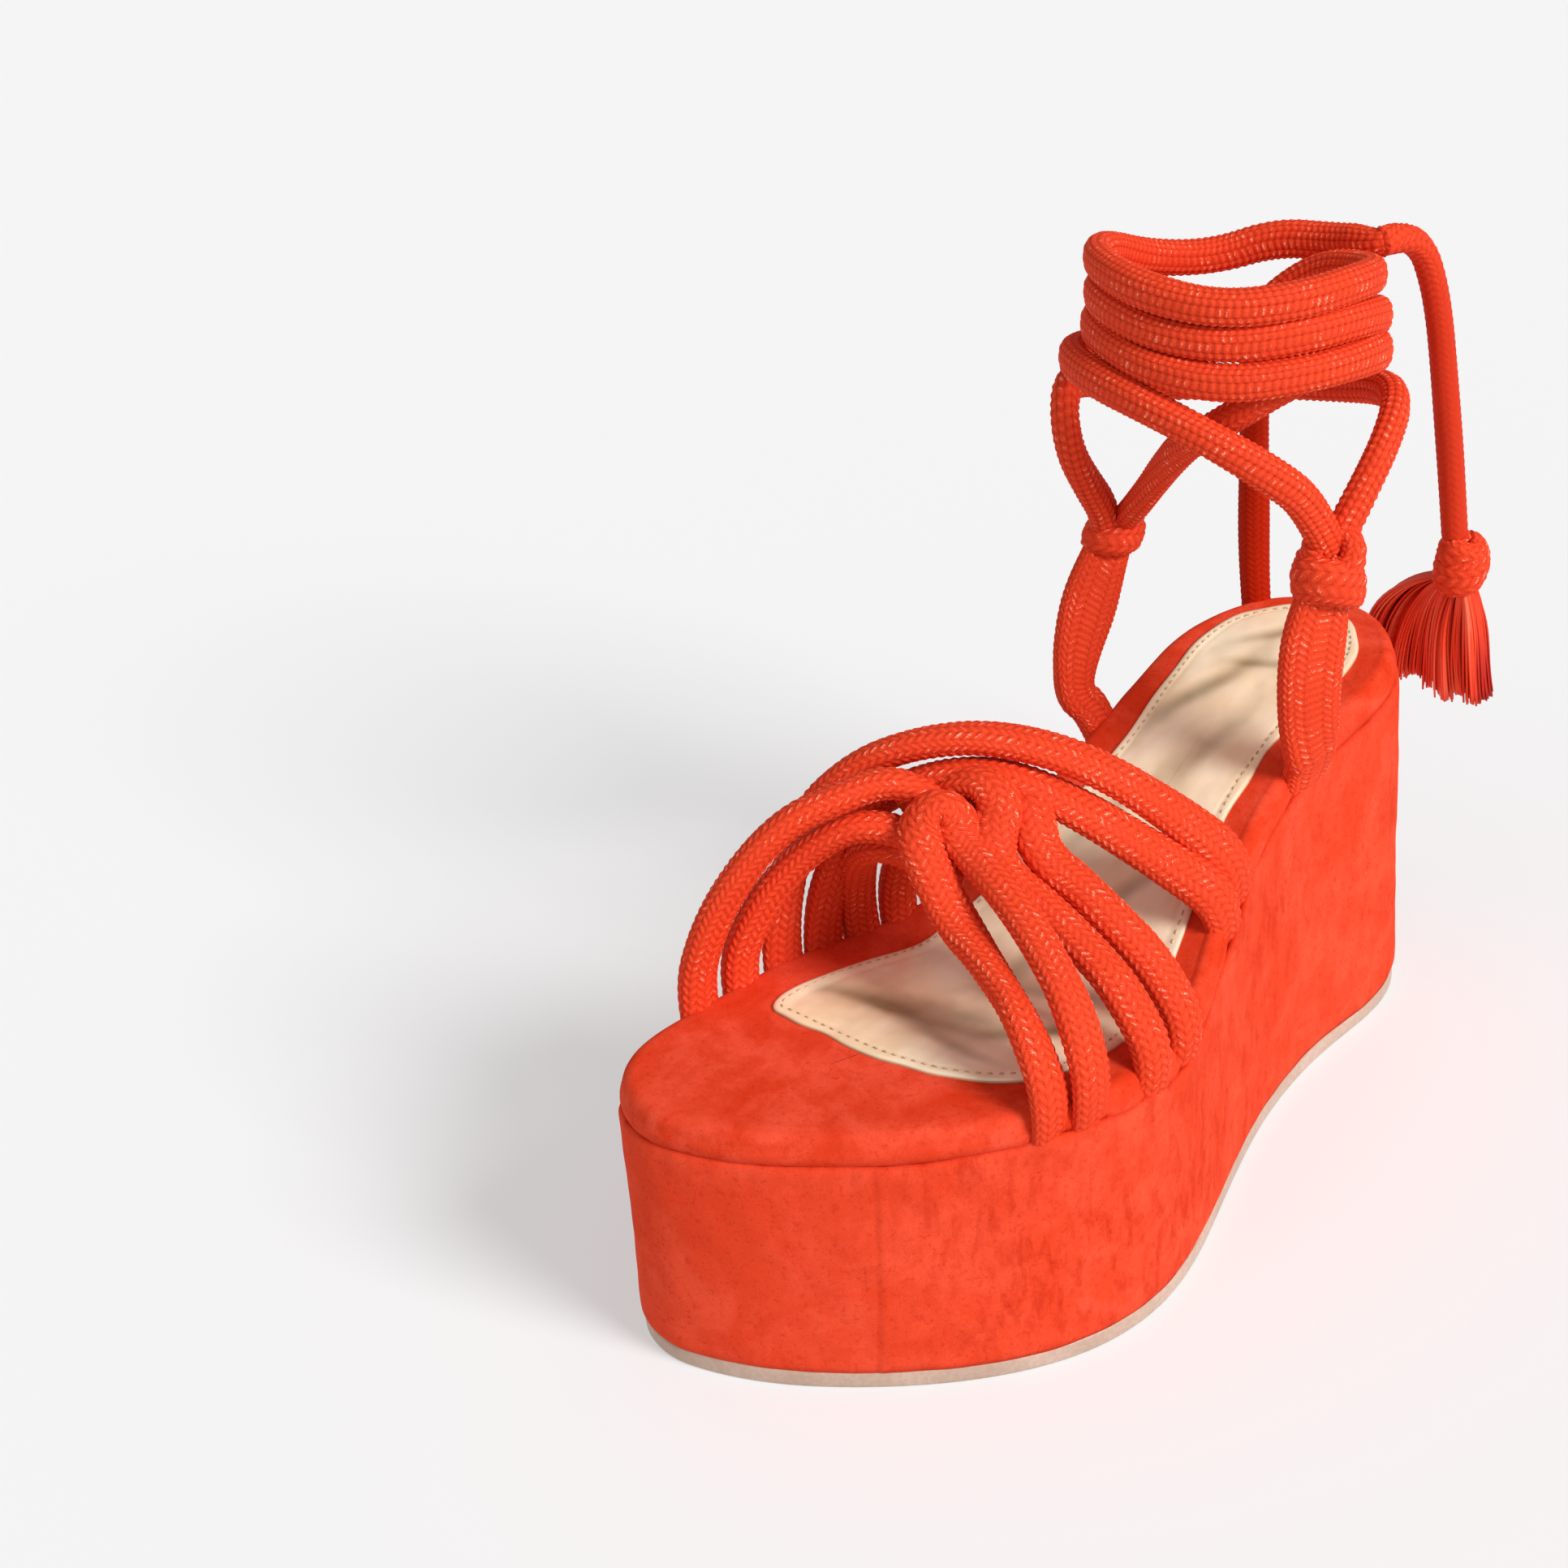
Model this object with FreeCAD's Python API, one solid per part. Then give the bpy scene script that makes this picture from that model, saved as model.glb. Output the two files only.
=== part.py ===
"""Left wedge sandal: platform wedge sole, corded vamp and an ankle lace that ends in a tassel.

Frame in millimetres: ground at z = 0, toe towards -Y, heel towards +Y, outer (lateral) side towards +X,
origin on the ground under the middle of the sole.
"""
import FreeCAD, Part
import math
import os

# ---- driving dimensions -------------------------------------------------------------------------
OUTSOLE_T = 4.6            # rubber outsole thickness
OUTSOLE_INSET = 0.5        # the outsole stands this far inside the suede wall
WALL_T = 1.4               # suede with its backing, round the wedge
FOOTBED_INSET = 1.0        # footbed edge inside the wedge wall
SUEDE_T = 1.2              # suede wrapped over the footbed
BOARD_T = 2.2              # insole board
FOAM_T = 5.2               # cushion foam
FOOTBED_T = BOARD_T + FOAM_T + SUEDE_T
SOCK_T = 0.9               # metallic sock lining
STITCH_LENGTH = 2.6
STITCH_PITCH = 4.0
STITCH_R = 0.35
STITCH_INSET = 2.2         # stitch line inside the sock lining's edge

CORD_D = 8.0               # braided vamp and ankle cord
TAIL_D = 7.0               # the lace where it hangs free
BACK_CORD_D = 7.0
STRAP_T = 6.4              # flat side straps
LATERAL_STRAP_W = 17.0
MEDIAL_STRAP_W = 13.5
ANKLE = (0.0, 75.0)        # centre of the ankle wraps, in plan
CORNER_FILL = 0.45         # share of the shorter run that a corner's arc takes
TALL = 130.0               # higher than the whole sole
BEYOND = 5.0               # how far a cutting block reaches past the sole's outline
OVERSHOOT = 1.0            # how far a cutting block reaches past the face that it opens
STITCH_GAP = 0.05          # between a stitch and the lining under it
INSET_POINTS = 3           # points of an inset outline for each point of its outline

VAMP_KNOT_R = 11.0
SIDE_KNOT_R = 9.0
TASSEL_KNOT_R = 7.4
TASSEL_Y = (130.4, 141.0)  # front and back of the tassel's skirt

# plan outline of the sole, from the toe round by the outer side
OUTLINE = [
    (-22.0, -128.0), (-2.0, -121.5), (18.0, -109.0), (40.0, -88.5), (55.0, -62.0), (57.4, -42.0), (48.5, -6.0),
    (36.0, 32.0), (30.8, 72.0), (27.0, 108.0), (0.0, 127.0), (-26.0, 109.5), (-30.5, 72.0),
    (-28.0, 34.0), (-33.5, -4.0), (-43.5, -45.0), (-48.0, -86.0), (-49.0, -110.0), (-40.5, -123.5),
]
# height of the footbed's top edge along the sole
PROFILE = [
    (-140.0, 74.0), (-100.0, 74.0), (-66.0, 74.0), (-46.0, 71.8), (-29.0, 69.8), (-12.0, 72.2),
    (4.0, 78.2), (22.0, 86.4), (42.0, 93.0), (62.0, 97.4), (82.0, 100.8), (104.0, 103.0), (140.0, 104.0),
]
# plan outline of the sock lining, from its front edge round by the outer side
SOCK = [
    (-28.0, -80.0), (-8.0, -80.5), (14.0, -79.0), (33.0, -71.0), (43.0, -56.0), (44.0, -42.0), (36.5, -6.0),
    (25.0, 33.0), (20.0, 73.0), (17.0, 104.0), (0.0, 117.5), (-18.5, 105.0), (-20.5, 73.0), (-15.5, 33.0),
    (-21.0, -6.0), (-24.5, -40.0), (-31.0, -68.0),
]

# ---- cord routes --------------------------------------------------------------------------------
# vamp cords: from the footbed's edge up into the knot
VAMP_LATERAL = [
    [(51.0, -73.5, 66.8), (49.5, -73.5, 79.0), (41.5, -69.5, 90.5), (24.5, -60.5, 95.0), (4.0, -47.5, 99.5),
     (-10.0, -38.5, 106.0)],
    [(55.5, -63.5, 66.0), (54.5, -63.0, 80.0), (47.5, -59.5, 93.0), (34.5, -53.5, 101.0), (18.5, -46.5, 107.5),
     (3.0, -38.0, 112.0)],
    [(56.5, -42.0, 63.5), (54.5, -41.5, 77.0), (46.5, -40.0, 87.5), (34.0, -38.0, 94.0), (21.0, -36.5, 100.5),
     (6.0, -36.5, 105.5)],
    [(54.5, -26.0, 62.5), (52.5, -25.5, 76.0), (45.0, -25.5, 87.0), (33.0, -27.0, 97.0), (19.0, -27.0, 106.5),
     (6.0, -27.5, 112.5)],
]
VAMP_MEDIAL = [
    [(-49.5, -87.5, 66.2), (-49.5, -87.0, 78.0), (-45.5, -82.5, 95.0), (-38.5, -74.5, 111.0),
     (-31.5, -65.0, 121.5), (-22.5, -54.0, 125.5), (-13.0, -43.0, 123.0), (-6.0, -35.0, 116.0)],
    [(-48.5, -74.0, 66.8), (-47.5, -73.0, 77.0), (-43.0, -68.5, 92.0), (-36.0, -61.0, 105.0),
     (-26.5, -51.5, 113.5), (-12.0, -38.0, 114.0)],
    [(-45.8, -32.5, 62.5), (-44.0, -32.5, 75.0), (-37.0, -32.5, 90.0), (-24.5, -34.0, 102.0),
     (-10.0, -36.0, 109.0)],
    [(-43.2, -21.5, 63.5), (-41.0, -22.0, 77.0), (-33.5, -23.5, 92.0), (-21.5, -24.0, 105.0),
     (-8.0, -27.0, 112.5)],
]
# the two cords that cross over behind the knot, from the outer side to the inner side
REAR_CROSS = [
    [(39.0, 20.0, 78.6), (36.5, 18.5, 88.0), (25.5, 9.5, 104.5), (10.0, -4.0, 120.5), (-7.0, -17.5, 128.5),
     (-22.0, -29.0, 127.5), (-35.0, -38.5, 121.0), (-45.5, -48.0, 107.0), (-51.5, -55.5, 88.0),
     (-50.2, -60.0, 66.4)],
    [(41.0, 9.5, 74.0), (38.0, 8.0, 84.5), (26.5, 0.0, 97.5), (12.0, -10.5, 111.0), (-2.0, -19.5, 120.0),
     (-14.0, -27.0, 120.5), (-27.0, -33.5, 114.5), (-38.0, -39.5, 103.0), (-46.0, -44.0, 86.0),
     (-48.0, -46.0, 63.8)],
]
# ankle cords, as (angle, height, radius) about the ankle: 0 faces the toe, +90 the outer side
WRAP_LACE = [
    (72, 155, 36.0), (62, 170, 37.5), (45, 181, 39.0), (25, 190.5, 39.5), (0, 197.0, 39.5), (-27, 198.5, 40.5),
    (-54, 196.5, 42.5), (-82, 190.5, 38.5), (-112, 185.0, 35.5), (-145, 182.0, 35.0), (-178, 182.5, 35.0),
    (-210, 189.0, 35.0), (-240, 197.0, 35.0), (-268, 202.5, 36.5), (-298, 204.5, 37.5), (-330, 203.5, 37.5),
    (-360, 205.2, 36.8), (-390, 206.5, 36.0), (-414, 205.0, 36.0), (-442, 199.8, 35.5), (-472, 194.0, 35.0),
    (-505, 190.8, 35.0), (-538, 191.5, 35.0), (-570, 198.5, 35.0), (-600, 206.0, 35.0), (-628, 212.0, 34.5),
    (-658, 213.5, 34.5), (-690, 212.5, 34.5), (-720, 213.5, 34.5), (-750, 215.0, 35.0), (-774, 213.7, 35.0),
    (-802, 209.0, 33.5), (-824, 202.0, 28.5), (-848, 191.5, 26.0), (-874, 193.0, 26.0), (-896, 203.5, 27.5),
    (-916, 209.5, 30.0), (-940, 213.0, 32.0), (-964, 217.5, 33.5), (-990, 221.5, 34.0), (-1021, 222.2, 34.5),
    (-1053, 221.8, 35.0), (-1085, 223.8, 35.0), (-1112, 224.2, 34.5), (-1134, 222.2, 34.5), (-1160, 217.8, 36.2),
    (-1188, 208.5, 37.5), (-1216, 205.5, 37.5), (-1240, 210.5, 38.0), (-1262, 211.0, 39.5), (-1284, 215.0, 39.8),
]
REAR_LACE = [
    (76, 157, 36.0), (88, 168.5, 37.5), (103, 177.5, 38.5), (121, 182.3, 39.0), (143, 180.0, 38.5),
    (170, 174.0, 37.0), (200, 171.5, 36.0), (228, 171.5, 36.0), (252, 174.0, 37.0), (272, 178.5, 39.0),
    (288, 184.0, 41.0), (300, 186.0, 43.0), (308, 180.0, 43.5), (308, 169.5, 42.0), (300, 158.5, 38.5),
    (289, 148.0, 36.0),
]
FRONT_LACE = [
    (-79, 143, 32.5), (-66, 152.0, 26.0), (-42, 166.0, 19.5), (-4, 178.5, 21.5), (24, 189.0, 29.5),
    (46, 196.0, 29.0), (68, 199.0, 27.5), (94, 200.0, 27.0), (120, 199.0, 26.8),
]
BACK_CORD = [
    (-26.8, 117.6, 96.2), (-25.5, 117.0, 118.0), (-23.5, 115.5, 144.0), (-22.3, 114.2, 170.0),
    (-21.7, 113.6, 189.0),
]
# the hanging tail: over the back of the wraps, then straight down to its knot
TAIL_ARCH = [(17.3, 111.2, 215.4), (18.7, 119.4, 214.9), (20.5, 126.1, 209.2), (21.9, 129.1, 199.1)]
TAIL_DROP = [
    (22.5, 129.1, 196.0), (23.5, 131.3, 182.0), (24.4, 132.9, 163.0), (25.6, 134.2, 143.0),
    (26.5, 134.9, 126.6),
]

# side straps, as (y, z) centre lines of flat bands that stand along the footbed's edge
LATERAL_STRAP_X = 34.8
LATERAL_STRAP = [(58.5, 88.6), (55.5, 100.0), (54.0, 116.0), (54.8, 131.0), (59.0, 146.0)]
MEDIAL_STRAP_X = -33.2
MEDIAL_STRAP = [(49.5, 86.2), (46.5, 98.0), (47.5, 110.0), (53.5, 121.5), (62.0, 132.5)]
LATERAL_KNOT = (35.0, 62.5, 151.5)
MEDIAL_KNOT = (-34.0, 67.0, 139.5)
VAMP_KNOT = [(-12.0, -33.5, 113.0), (4.0, -33.0, 112.0)]
TASSEL_KNOT = (28.0, 136.0, 118.8)
# skirt of the tassel in the XZ plane, fanned towards the inner side
SKIRT = [
    (24.0, 112.6), (32.0, 112.6), (37.0, 98.0), (39.0, 80.5), (27.0, 77.5), (14.0, 81.0), (3.0, 96.0),
    (5.0, 107.5), (15.0, 111.5),
]


def vec(p):
    return FreeCAD.Vector(*p)


def around_ankle(angle, height, radius):
    a = math.radians(angle)
    return (ANKLE[0] + radius * math.sin(a), ANKLE[1] - radius * math.cos(a), height)


def closed_curve(points, inset):
    """Closed spline through points in plan, moved inwards by inset."""
    curve = Part.BSplineCurve()
    curve.interpolate(Points=[vec(p + (0.0,)) for p in points], PeriodicFlag=True)
    if not inset:
        return curve
    first, last = curve.FirstParameter, curve.LastParameter
    count = INSET_POINTS * len(points)
    moved = []
    for i in range(count):
        u = first + (last - first) * i / count
        t = curve.tangent(u)[0]
        moved.append(curve.value(u) + FreeCAD.Vector(-t.y, t.x, 0).multiply(inset))
    result = Part.BSplineCurve()
    result.interpolate(Points=moved, PeriodicFlag=True)
    return result


def slab(points, inset, low, high):
    """Upright prism on a plan outline, between two heights."""
    edge = closed_curve(points, inset).toShape()
    face = Part.Face(Part.Wire([edge]))
    face.translate(FreeCAD.Vector(0, 0, low))
    return face.extrude(FreeCAD.Vector(0, 0, high - low))


def profile_curve(offset):
    curve = Part.BSplineCurve()
    curve.interpolate(Points=[FreeCAD.Vector(0, y, z + offset) for y, z in PROFILE])
    return curve


def between(low, high):
    """Everything between two copies of the footbed profile; low None means down to the ground."""
    wide = 100.0
    upper = profile_curve(high)
    start, end = upper.value(upper.FirstParameter), upper.value(upper.LastParameter)
    if low is None:
        floor_start, floor_end = FreeCAD.Vector(0, start.y, 0), FreeCAD.Vector(0, end.y, 0)
        lower_edge = Part.makeLine(floor_start, floor_end)
    else:
        lower = profile_curve(low)
        floor_start, floor_end = lower.value(lower.FirstParameter), lower.value(lower.LastParameter)
        lower_edge = lower.toShape()
    right_side, left_side = Part.makeLine(end, floor_end), Part.makeLine(floor_start, start)
    wire = Part.Wire([upper.toShape(), right_side, lower_edge, left_side])
    face = Part.Face(wire)
    face.translate(FreeCAD.Vector(-wide, 0, 0))
    return face.extrude(FreeCAD.Vector(2 * wide, 0, 0))


def layer(points, inset, low, high):
    """The part of an outline that lies between two copies of the footbed profile."""
    return slab(points, inset, 0.0, TALL).common(between(low, high))


def rounded_path(name, points):
    """Straight runs joined by tangent arcs; prints the arc radii."""
    points = [vec(p) for p in points]
    edges = []
    radii = []
    here = points[0]
    for before, corner, after in zip(points, points[1:], points[2:]):
        arriving, leaving = corner - before, after - corner
        turn = arriving.getAngle(leaving)
        cut = CORNER_FILL * min(arriving.Length, leaving.Length)
        radius = cut / math.tan(turn / 2)
        radii.append(radius)
        entry = corner - FreeCAD.Vector(arriving).normalize() * cut
        out = corner + FreeCAD.Vector(leaving).normalize() * cut
        inward = (entry + out) * 0.5 - corner
        reach = math.hypot(radius, cut)
        middle = corner + inward.normalize() * (reach - radius)
        edges.append(Part.makeLine(here, entry))
        edges.append(Part.Arc(entry, middle, out).toShape())
        here = out
    edges.append(Part.makeLine(here, points[-1]))
    print(f"{name}: arc radii {min(radii):.1f} to {max(radii):.1f} mm")
    return Part.Wire(edges)


def tube(name, points, diameter):
    path = rounded_path(name, points)
    start = path.Edges[0]
    direction = start.tangentAt(start.FirstParameter)
    ring = Part.Wire([Part.makeCircle(diameter / 2, vec(points[0]), direction)])
    solid = path.makePipeShell([ring], True, False)
    expected = math.pi * diameter ** 2 / 4 * path.Length
    print(f"{name}: length {path.Length:.1f} mm, volume {solid.Volume:.0f} of {expected:.0f} mm3")
    return solid


def ankle_tube(name, rows):
    return tube(name, [around_ankle(*row) for row in rows], CORD_D)


def flat_strap(centre_line, width, x):
    """Flat band in an upright plane, its width measured across the centre line."""
    half = width / 2
    left, right = [], []
    for i, (y, z) in enumerate(centre_line):
        y0, z0 = centre_line[max(i - 1, 0)]
        y1, z1 = centre_line[min(i + 1, len(centre_line) - 1)]
        length = math.hypot(y1 - y0, z1 - z0)
        ny, nz = -(z1 - z0) / length, (y1 - y0) / length
        if i == 0:
            ny, nz = -1.0, 0.0
        left.append(FreeCAD.Vector(x - STRAP_T / 2, y + half * ny, z + half * nz))
        right.append(FreeCAD.Vector(x - STRAP_T / 2, y - half * ny, z - half * nz))
    edges = []
    for side in (left, right):
        curve = Part.BSplineCurve()
        curve.interpolate(Points=side)
        edges.append(curve.toShape())
    edges.append(Part.makeLine(left[0], right[0]))
    edges.append(Part.makeLine(left[-1], right[-1]))
    face = Part.Face(Part.Wire(Part.__sortEdges__(edges)))
    band = face.extrude(FreeCAD.Vector(STRAP_T, 0, 0))
    return band


def ball(centre, radius):
    return Part.makeSphere(radius, vec(centre))


def capsule(ends, radius):
    a, b = vec(ends[0]), vec(ends[1])
    barrel = Part.makeCylinder(radius, (b - a).Length, a, b - a)
    return barrel.fuse([Part.makeSphere(radius, a), Part.makeSphere(radius, b)]).removeSplitter()


def stitches():
    """Separate stitches along a line inside the sock lining's edge, lying on its top."""
    line = closed_curve(SOCK, STITCH_INSET)
    heights = profile_curve(SOCK_T)
    heights_edge = heights.toShape()
    edge = line.toShape()
    count = int(edge.Length / STITCH_PITCH)
    solids = []
    for i in range(count):
        middle = edge.getParameterByLength(edge.Length * (i + 0.5) / count)
        here, heading = edge.valueAt(middle), edge.tangentAt(middle)
        plumb = Part.makeLine(FreeCAD.Vector(0, here.y, 0), FreeCAD.Vector(0, here.y, TALL))
        on_top = heights_edge.distToShape(plumb)[1][0][0]
        slope = heights.tangent(heights.parameter(on_top))[0]
        rise = slope.z / slope.y
        direction = FreeCAD.Vector(heading.x, heading.y, heading.y * rise).normalize()
        centre = FreeCAD.Vector(here.x, here.y, on_top.z + STITCH_R + STITCH_GAP)
        start = centre - direction * (STITCH_LENGTH / 2)
        solids.append(Part.makeCylinder(STITCH_R, STITCH_LENGTH, start, direction))
    return Part.makeCompound(solids)


def tassel_skirt():
    front, back = TASSEL_Y
    corners = [FreeCAD.Vector(x, front, z) for x, z in SKIRT]
    face = Part.Face(Part.makePolygon(corners + corners[:1]))
    return face.extrude(FreeCAD.Vector(0, back - front, 0))


def vamp_parts():
    """Cords of the vamp, and the whole tubes that press their way into the footbed's edge."""
    knot = capsule(VAMP_KNOT, VAMP_KNOT_R)
    tubes = {}
    for side, routes in (("lateral", VAMP_LATERAL), ("medial", VAMP_MEDIAL)):
        for number, route in enumerate(routes, 1):
            name = f"vamp_cord_{side}_{number}"
            tubes[name] = tube(name, route, CORD_D)
    for number, route in enumerate(REAR_CROSS, 1):
        name = f"rear_cross_cord_{number}"
        tubes[name] = tube(name, route, CORD_D)
    parts = {name: solid.cut(knot) for name, solid in tubes.items()}
    parts["vamp_knot"] = knot
    return parts, list(tubes.values())


def sole_parts(cords):
    """Sole from the ground up; the footbed's layers are notched where the vamp cords run down its edge."""
    top = -FOOTBED_T
    above_outsole = slab(OUTLINE, -BEYOND, OUTSOLE_T, TALL)
    core = layer(OUTLINE, WALL_T, None, top).common(above_outsole)
    wall = layer(OUTLINE, 0.0, None, top).common(above_outsole).cut(slab(OUTLINE, WALL_T, 0.0, TALL))
    inner = FOOTBED_INSET + SUEDE_T
    wrap = layer(OUTLINE, FOOTBED_INSET, top, 0.0).cut(layer(OUTLINE, inner, top - OVERSHOOT, -SUEDE_T))
    return {
        "outsole": slab(OUTLINE, OUTSOLE_INSET, 0.0, OUTSOLE_T),
        "wedge_core": core,
        "wedge_cover": wall,
        "insole_board": layer(OUTLINE, inner, top, top + BOARD_T).cut(cords),
        "footbed_foam": layer(OUTLINE, inner, top + BOARD_T, -SUEDE_T).cut(cords),
        "footbed_cover": wrap.cut(cords),
        "sock_lining": layer(SOCK, 0.0, 0.0, SOCK_T),
        "sock_stitching": stitches(),
    }


def ankle_parts():
    lateral_knot, medial_knot = ball(LATERAL_KNOT, SIDE_KNOT_R), ball(MEDIAL_KNOT, SIDE_KNOT_R)
    knots = [lateral_knot, medial_knot]
    return {
        "lateral_strap": flat_strap(LATERAL_STRAP, LATERAL_STRAP_W, LATERAL_STRAP_X).cut(lateral_knot),
        "medial_strap": flat_strap(MEDIAL_STRAP, MEDIAL_STRAP_W, MEDIAL_STRAP_X).cut(medial_knot),
        "lateral_knot": lateral_knot,
        "medial_knot": medial_knot,
        "wrap_lace": ankle_tube("wrap_lace", WRAP_LACE).cut(knots),
        "rear_lace": ankle_tube("rear_lace", REAR_LACE).cut(knots),
        "front_lace": ankle_tube("front_lace", FRONT_LACE).cut(knots),
        "back_cord": tube("back_cord", BACK_CORD, BACK_CORD_D),
    }


def tail_parts():
    knot = ball(TASSEL_KNOT, TASSEL_KNOT_R)
    return {
        "tail_arch": tube("tail_arch", TAIL_ARCH, TAIL_D),
        "tail_drop": tube("tail_drop", TAIL_DROP, TAIL_D),
        "tassel_knot": knot,
        "tassel_skirt": tassel_skirt().cut(knot),
    }


def main():
    os.makedirs("parts", exist_ok=True)
    vamp, cords = vamp_parts()
    for group in (sole_parts(cords), vamp, ankle_parts(), tail_parts()):
        for name, shape in group.items():
            box = shape.BoundBox
            print(
                f"{name}: {len(shape.Solids)} solid(s), valid {shape.isValid()},"
                f" x {box.XMin:.1f} to {box.XMax:.1f}, y {box.YMin:.1f} to {box.YMax:.1f},"
                f" z {box.ZMin:.1f} to {box.ZMax:.1f}"
            )
            shape.exportStep(f"parts/{name}.step")


main()
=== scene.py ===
"""Looks of the wedge sandal: braided cords and knots, suede wedge and footbed, gold lining, tassel.

Metres, in the frame of the CAD model: ground at z = 0, toe towards -Y, outer side of the foot towards +X.
Routes are written in millimetres and scaled by MM.
"""

import math

import bpy
import numpy as np
from mathutils import Euler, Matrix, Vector
from mathutils.bvhtree import BVHTree


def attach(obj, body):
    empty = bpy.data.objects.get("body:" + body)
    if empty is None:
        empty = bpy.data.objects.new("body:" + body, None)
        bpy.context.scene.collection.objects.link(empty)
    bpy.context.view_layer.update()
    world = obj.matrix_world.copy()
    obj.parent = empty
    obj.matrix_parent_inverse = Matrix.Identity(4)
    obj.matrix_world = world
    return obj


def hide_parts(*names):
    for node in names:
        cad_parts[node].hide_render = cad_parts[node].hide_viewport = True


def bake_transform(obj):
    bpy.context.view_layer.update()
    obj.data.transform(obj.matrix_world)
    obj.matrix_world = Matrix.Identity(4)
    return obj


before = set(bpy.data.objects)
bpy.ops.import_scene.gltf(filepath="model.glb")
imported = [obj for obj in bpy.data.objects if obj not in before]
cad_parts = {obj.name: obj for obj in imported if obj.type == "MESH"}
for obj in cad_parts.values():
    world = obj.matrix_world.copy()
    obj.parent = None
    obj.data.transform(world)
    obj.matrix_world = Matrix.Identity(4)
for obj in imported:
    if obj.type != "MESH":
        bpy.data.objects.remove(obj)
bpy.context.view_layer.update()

MM = 0.001
TAIL_D = 7.0 * MM
ANKLE_Y = 75.0              # middle of the ankle along the foot, in millimetres
SEED = 7
rng = np.random.default_rng(SEED)


# ---- camera -------------------------------------------------------------------------------------
def add_camera():
    """Portrait lens above the toe, seen from the outer side, rolled a little."""
    eye = Vector((457.6, -581.0, 554.5)) * MM
    target = Vector((-17.3, -79.9, 149.9)) * MM
    roll = math.radians(-4.79)
    data = bpy.data.cameras.new("camera")
    data.lens = 80.4
    data.sensor_width = 36.0
    data.shift_x = -0.0025
    data.shift_y = -0.0174
    data.clip_end = 20.0
    camera = bpy.data.objects.new("camera", data)
    bpy.context.scene.collection.objects.link(camera)
    camera.rotation_mode = "QUATERNION"
    camera.location = eye
    facing = (target - eye).to_track_quat("-Z", "Y")
    camera.rotation_quaternion = facing @ Euler((0.0, 0.0, roll)).to_quaternion()
    bpy.context.scene.camera = camera


# ---- node materials -----------------------------------------------------------------------------
class Shader:
    """A material's node tree, with short calls for the nodes that the finishes share."""

    def __init__(self, name):
        self.material = bpy.data.materials.new(name)
        self.material.use_nodes = True
        self.nodes = self.material.node_tree.nodes
        self.links = self.material.node_tree.links
        self.body = self.nodes["Principled BSDF"]
        self.place = self.nodes.new("ShaderNodeTexCoord").outputs["Object"]

    def set(self, **sockets):
        for socket, value in sockets.items():
            self.body.inputs[socket.replace("_", " ")].default_value = value

    def scaled(self, scale):
        mapping = self.nodes.new("ShaderNodeMapping")
        mapping.inputs["Scale"].default_value = scale
        self.links.new(self.place, mapping.inputs["Vector"])
        return mapping.outputs["Vector"]

    def noise(self, size, detail=3.0, stretch=(1, 1, 1), distortion=0.0, roughness=0.5):
        """Noise whose blobs are about size metres across."""
        node = self.nodes.new("ShaderNodeTexNoise")
        node.inputs["Scale"].default_value = 1.0
        node.inputs["Detail"].default_value = detail
        node.inputs["Distortion"].default_value = distortion
        node.inputs["Roughness"].default_value = roughness
        self.links.new(self.scaled(tuple(k / size for k in stretch)), node.inputs["Vector"])
        return node.outputs["Fac"]

    def attribute(self, name):
        node = self.nodes.new("ShaderNodeAttribute")
        node.attribute_name = name
        return node.outputs["Fac"]

    def ramp(self, source, stops):
        """Colour ramp; stops are (position, colour) or (position, grey)."""
        node = self.nodes.new("ShaderNodeValToRGB")
        elements = node.color_ramp.elements
        while len(elements) < len(stops):
            elements.new(0.5)
        for element, (position, tone) in zip(elements, stops):
            element.position = position
            element.color = (*tone, 1.0) if isinstance(tone, tuple) else (tone, tone, tone, 1.0)
        self.links.new(source, node.inputs["Fac"])
        return node.outputs["Color"]

    def mix(self, factor, low, high, mode="MIX"):
        node = self.nodes.new("ShaderNodeMix")
        node.data_type = "RGBA"
        node.blend_type = mode
        for socket, value in ((node.inputs[0], factor), (node.inputs[6], low), (node.inputs[7], high)):
            if isinstance(value, bpy.types.NodeSocket):
                self.links.new(value, socket)
            elif isinstance(value, tuple):
                socket.default_value = (*value, 1.0)
            else:
                socket.default_value = value
        return node.outputs[2]

    def math(self, kind, a, b):
        node = self.nodes.new("ShaderNodeMath")
        node.operation = kind
        for socket, value in zip(node.inputs, (a, b)):
            if isinstance(value, bpy.types.NodeSocket):
                self.links.new(value, socket)
            else:
                socket.default_value = value
        return node.outputs[0]

    def bump(self, *layers):
        """Stacks (height, strength, distance in metres) bumps."""
        normal = None
        for height, strength, distance in layers:
            node = self.nodes.new("ShaderNodeBump")
            node.inputs["Strength"].default_value = strength
            node.inputs["Distance"].default_value = distance
            self.links.new(height, node.inputs["Height"])
            if normal:
                self.links.new(normal, node.inputs["Normal"])
            normal = node.outputs["Normal"]
        self.links.new(normal, self.body.inputs["Normal"])

    def finish(self, color, roughness):
        self.links.new(color, self.body.inputs["Base Color"])
        self.links.new(roughness, self.body.inputs["Roughness"])
        return self.material


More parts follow.
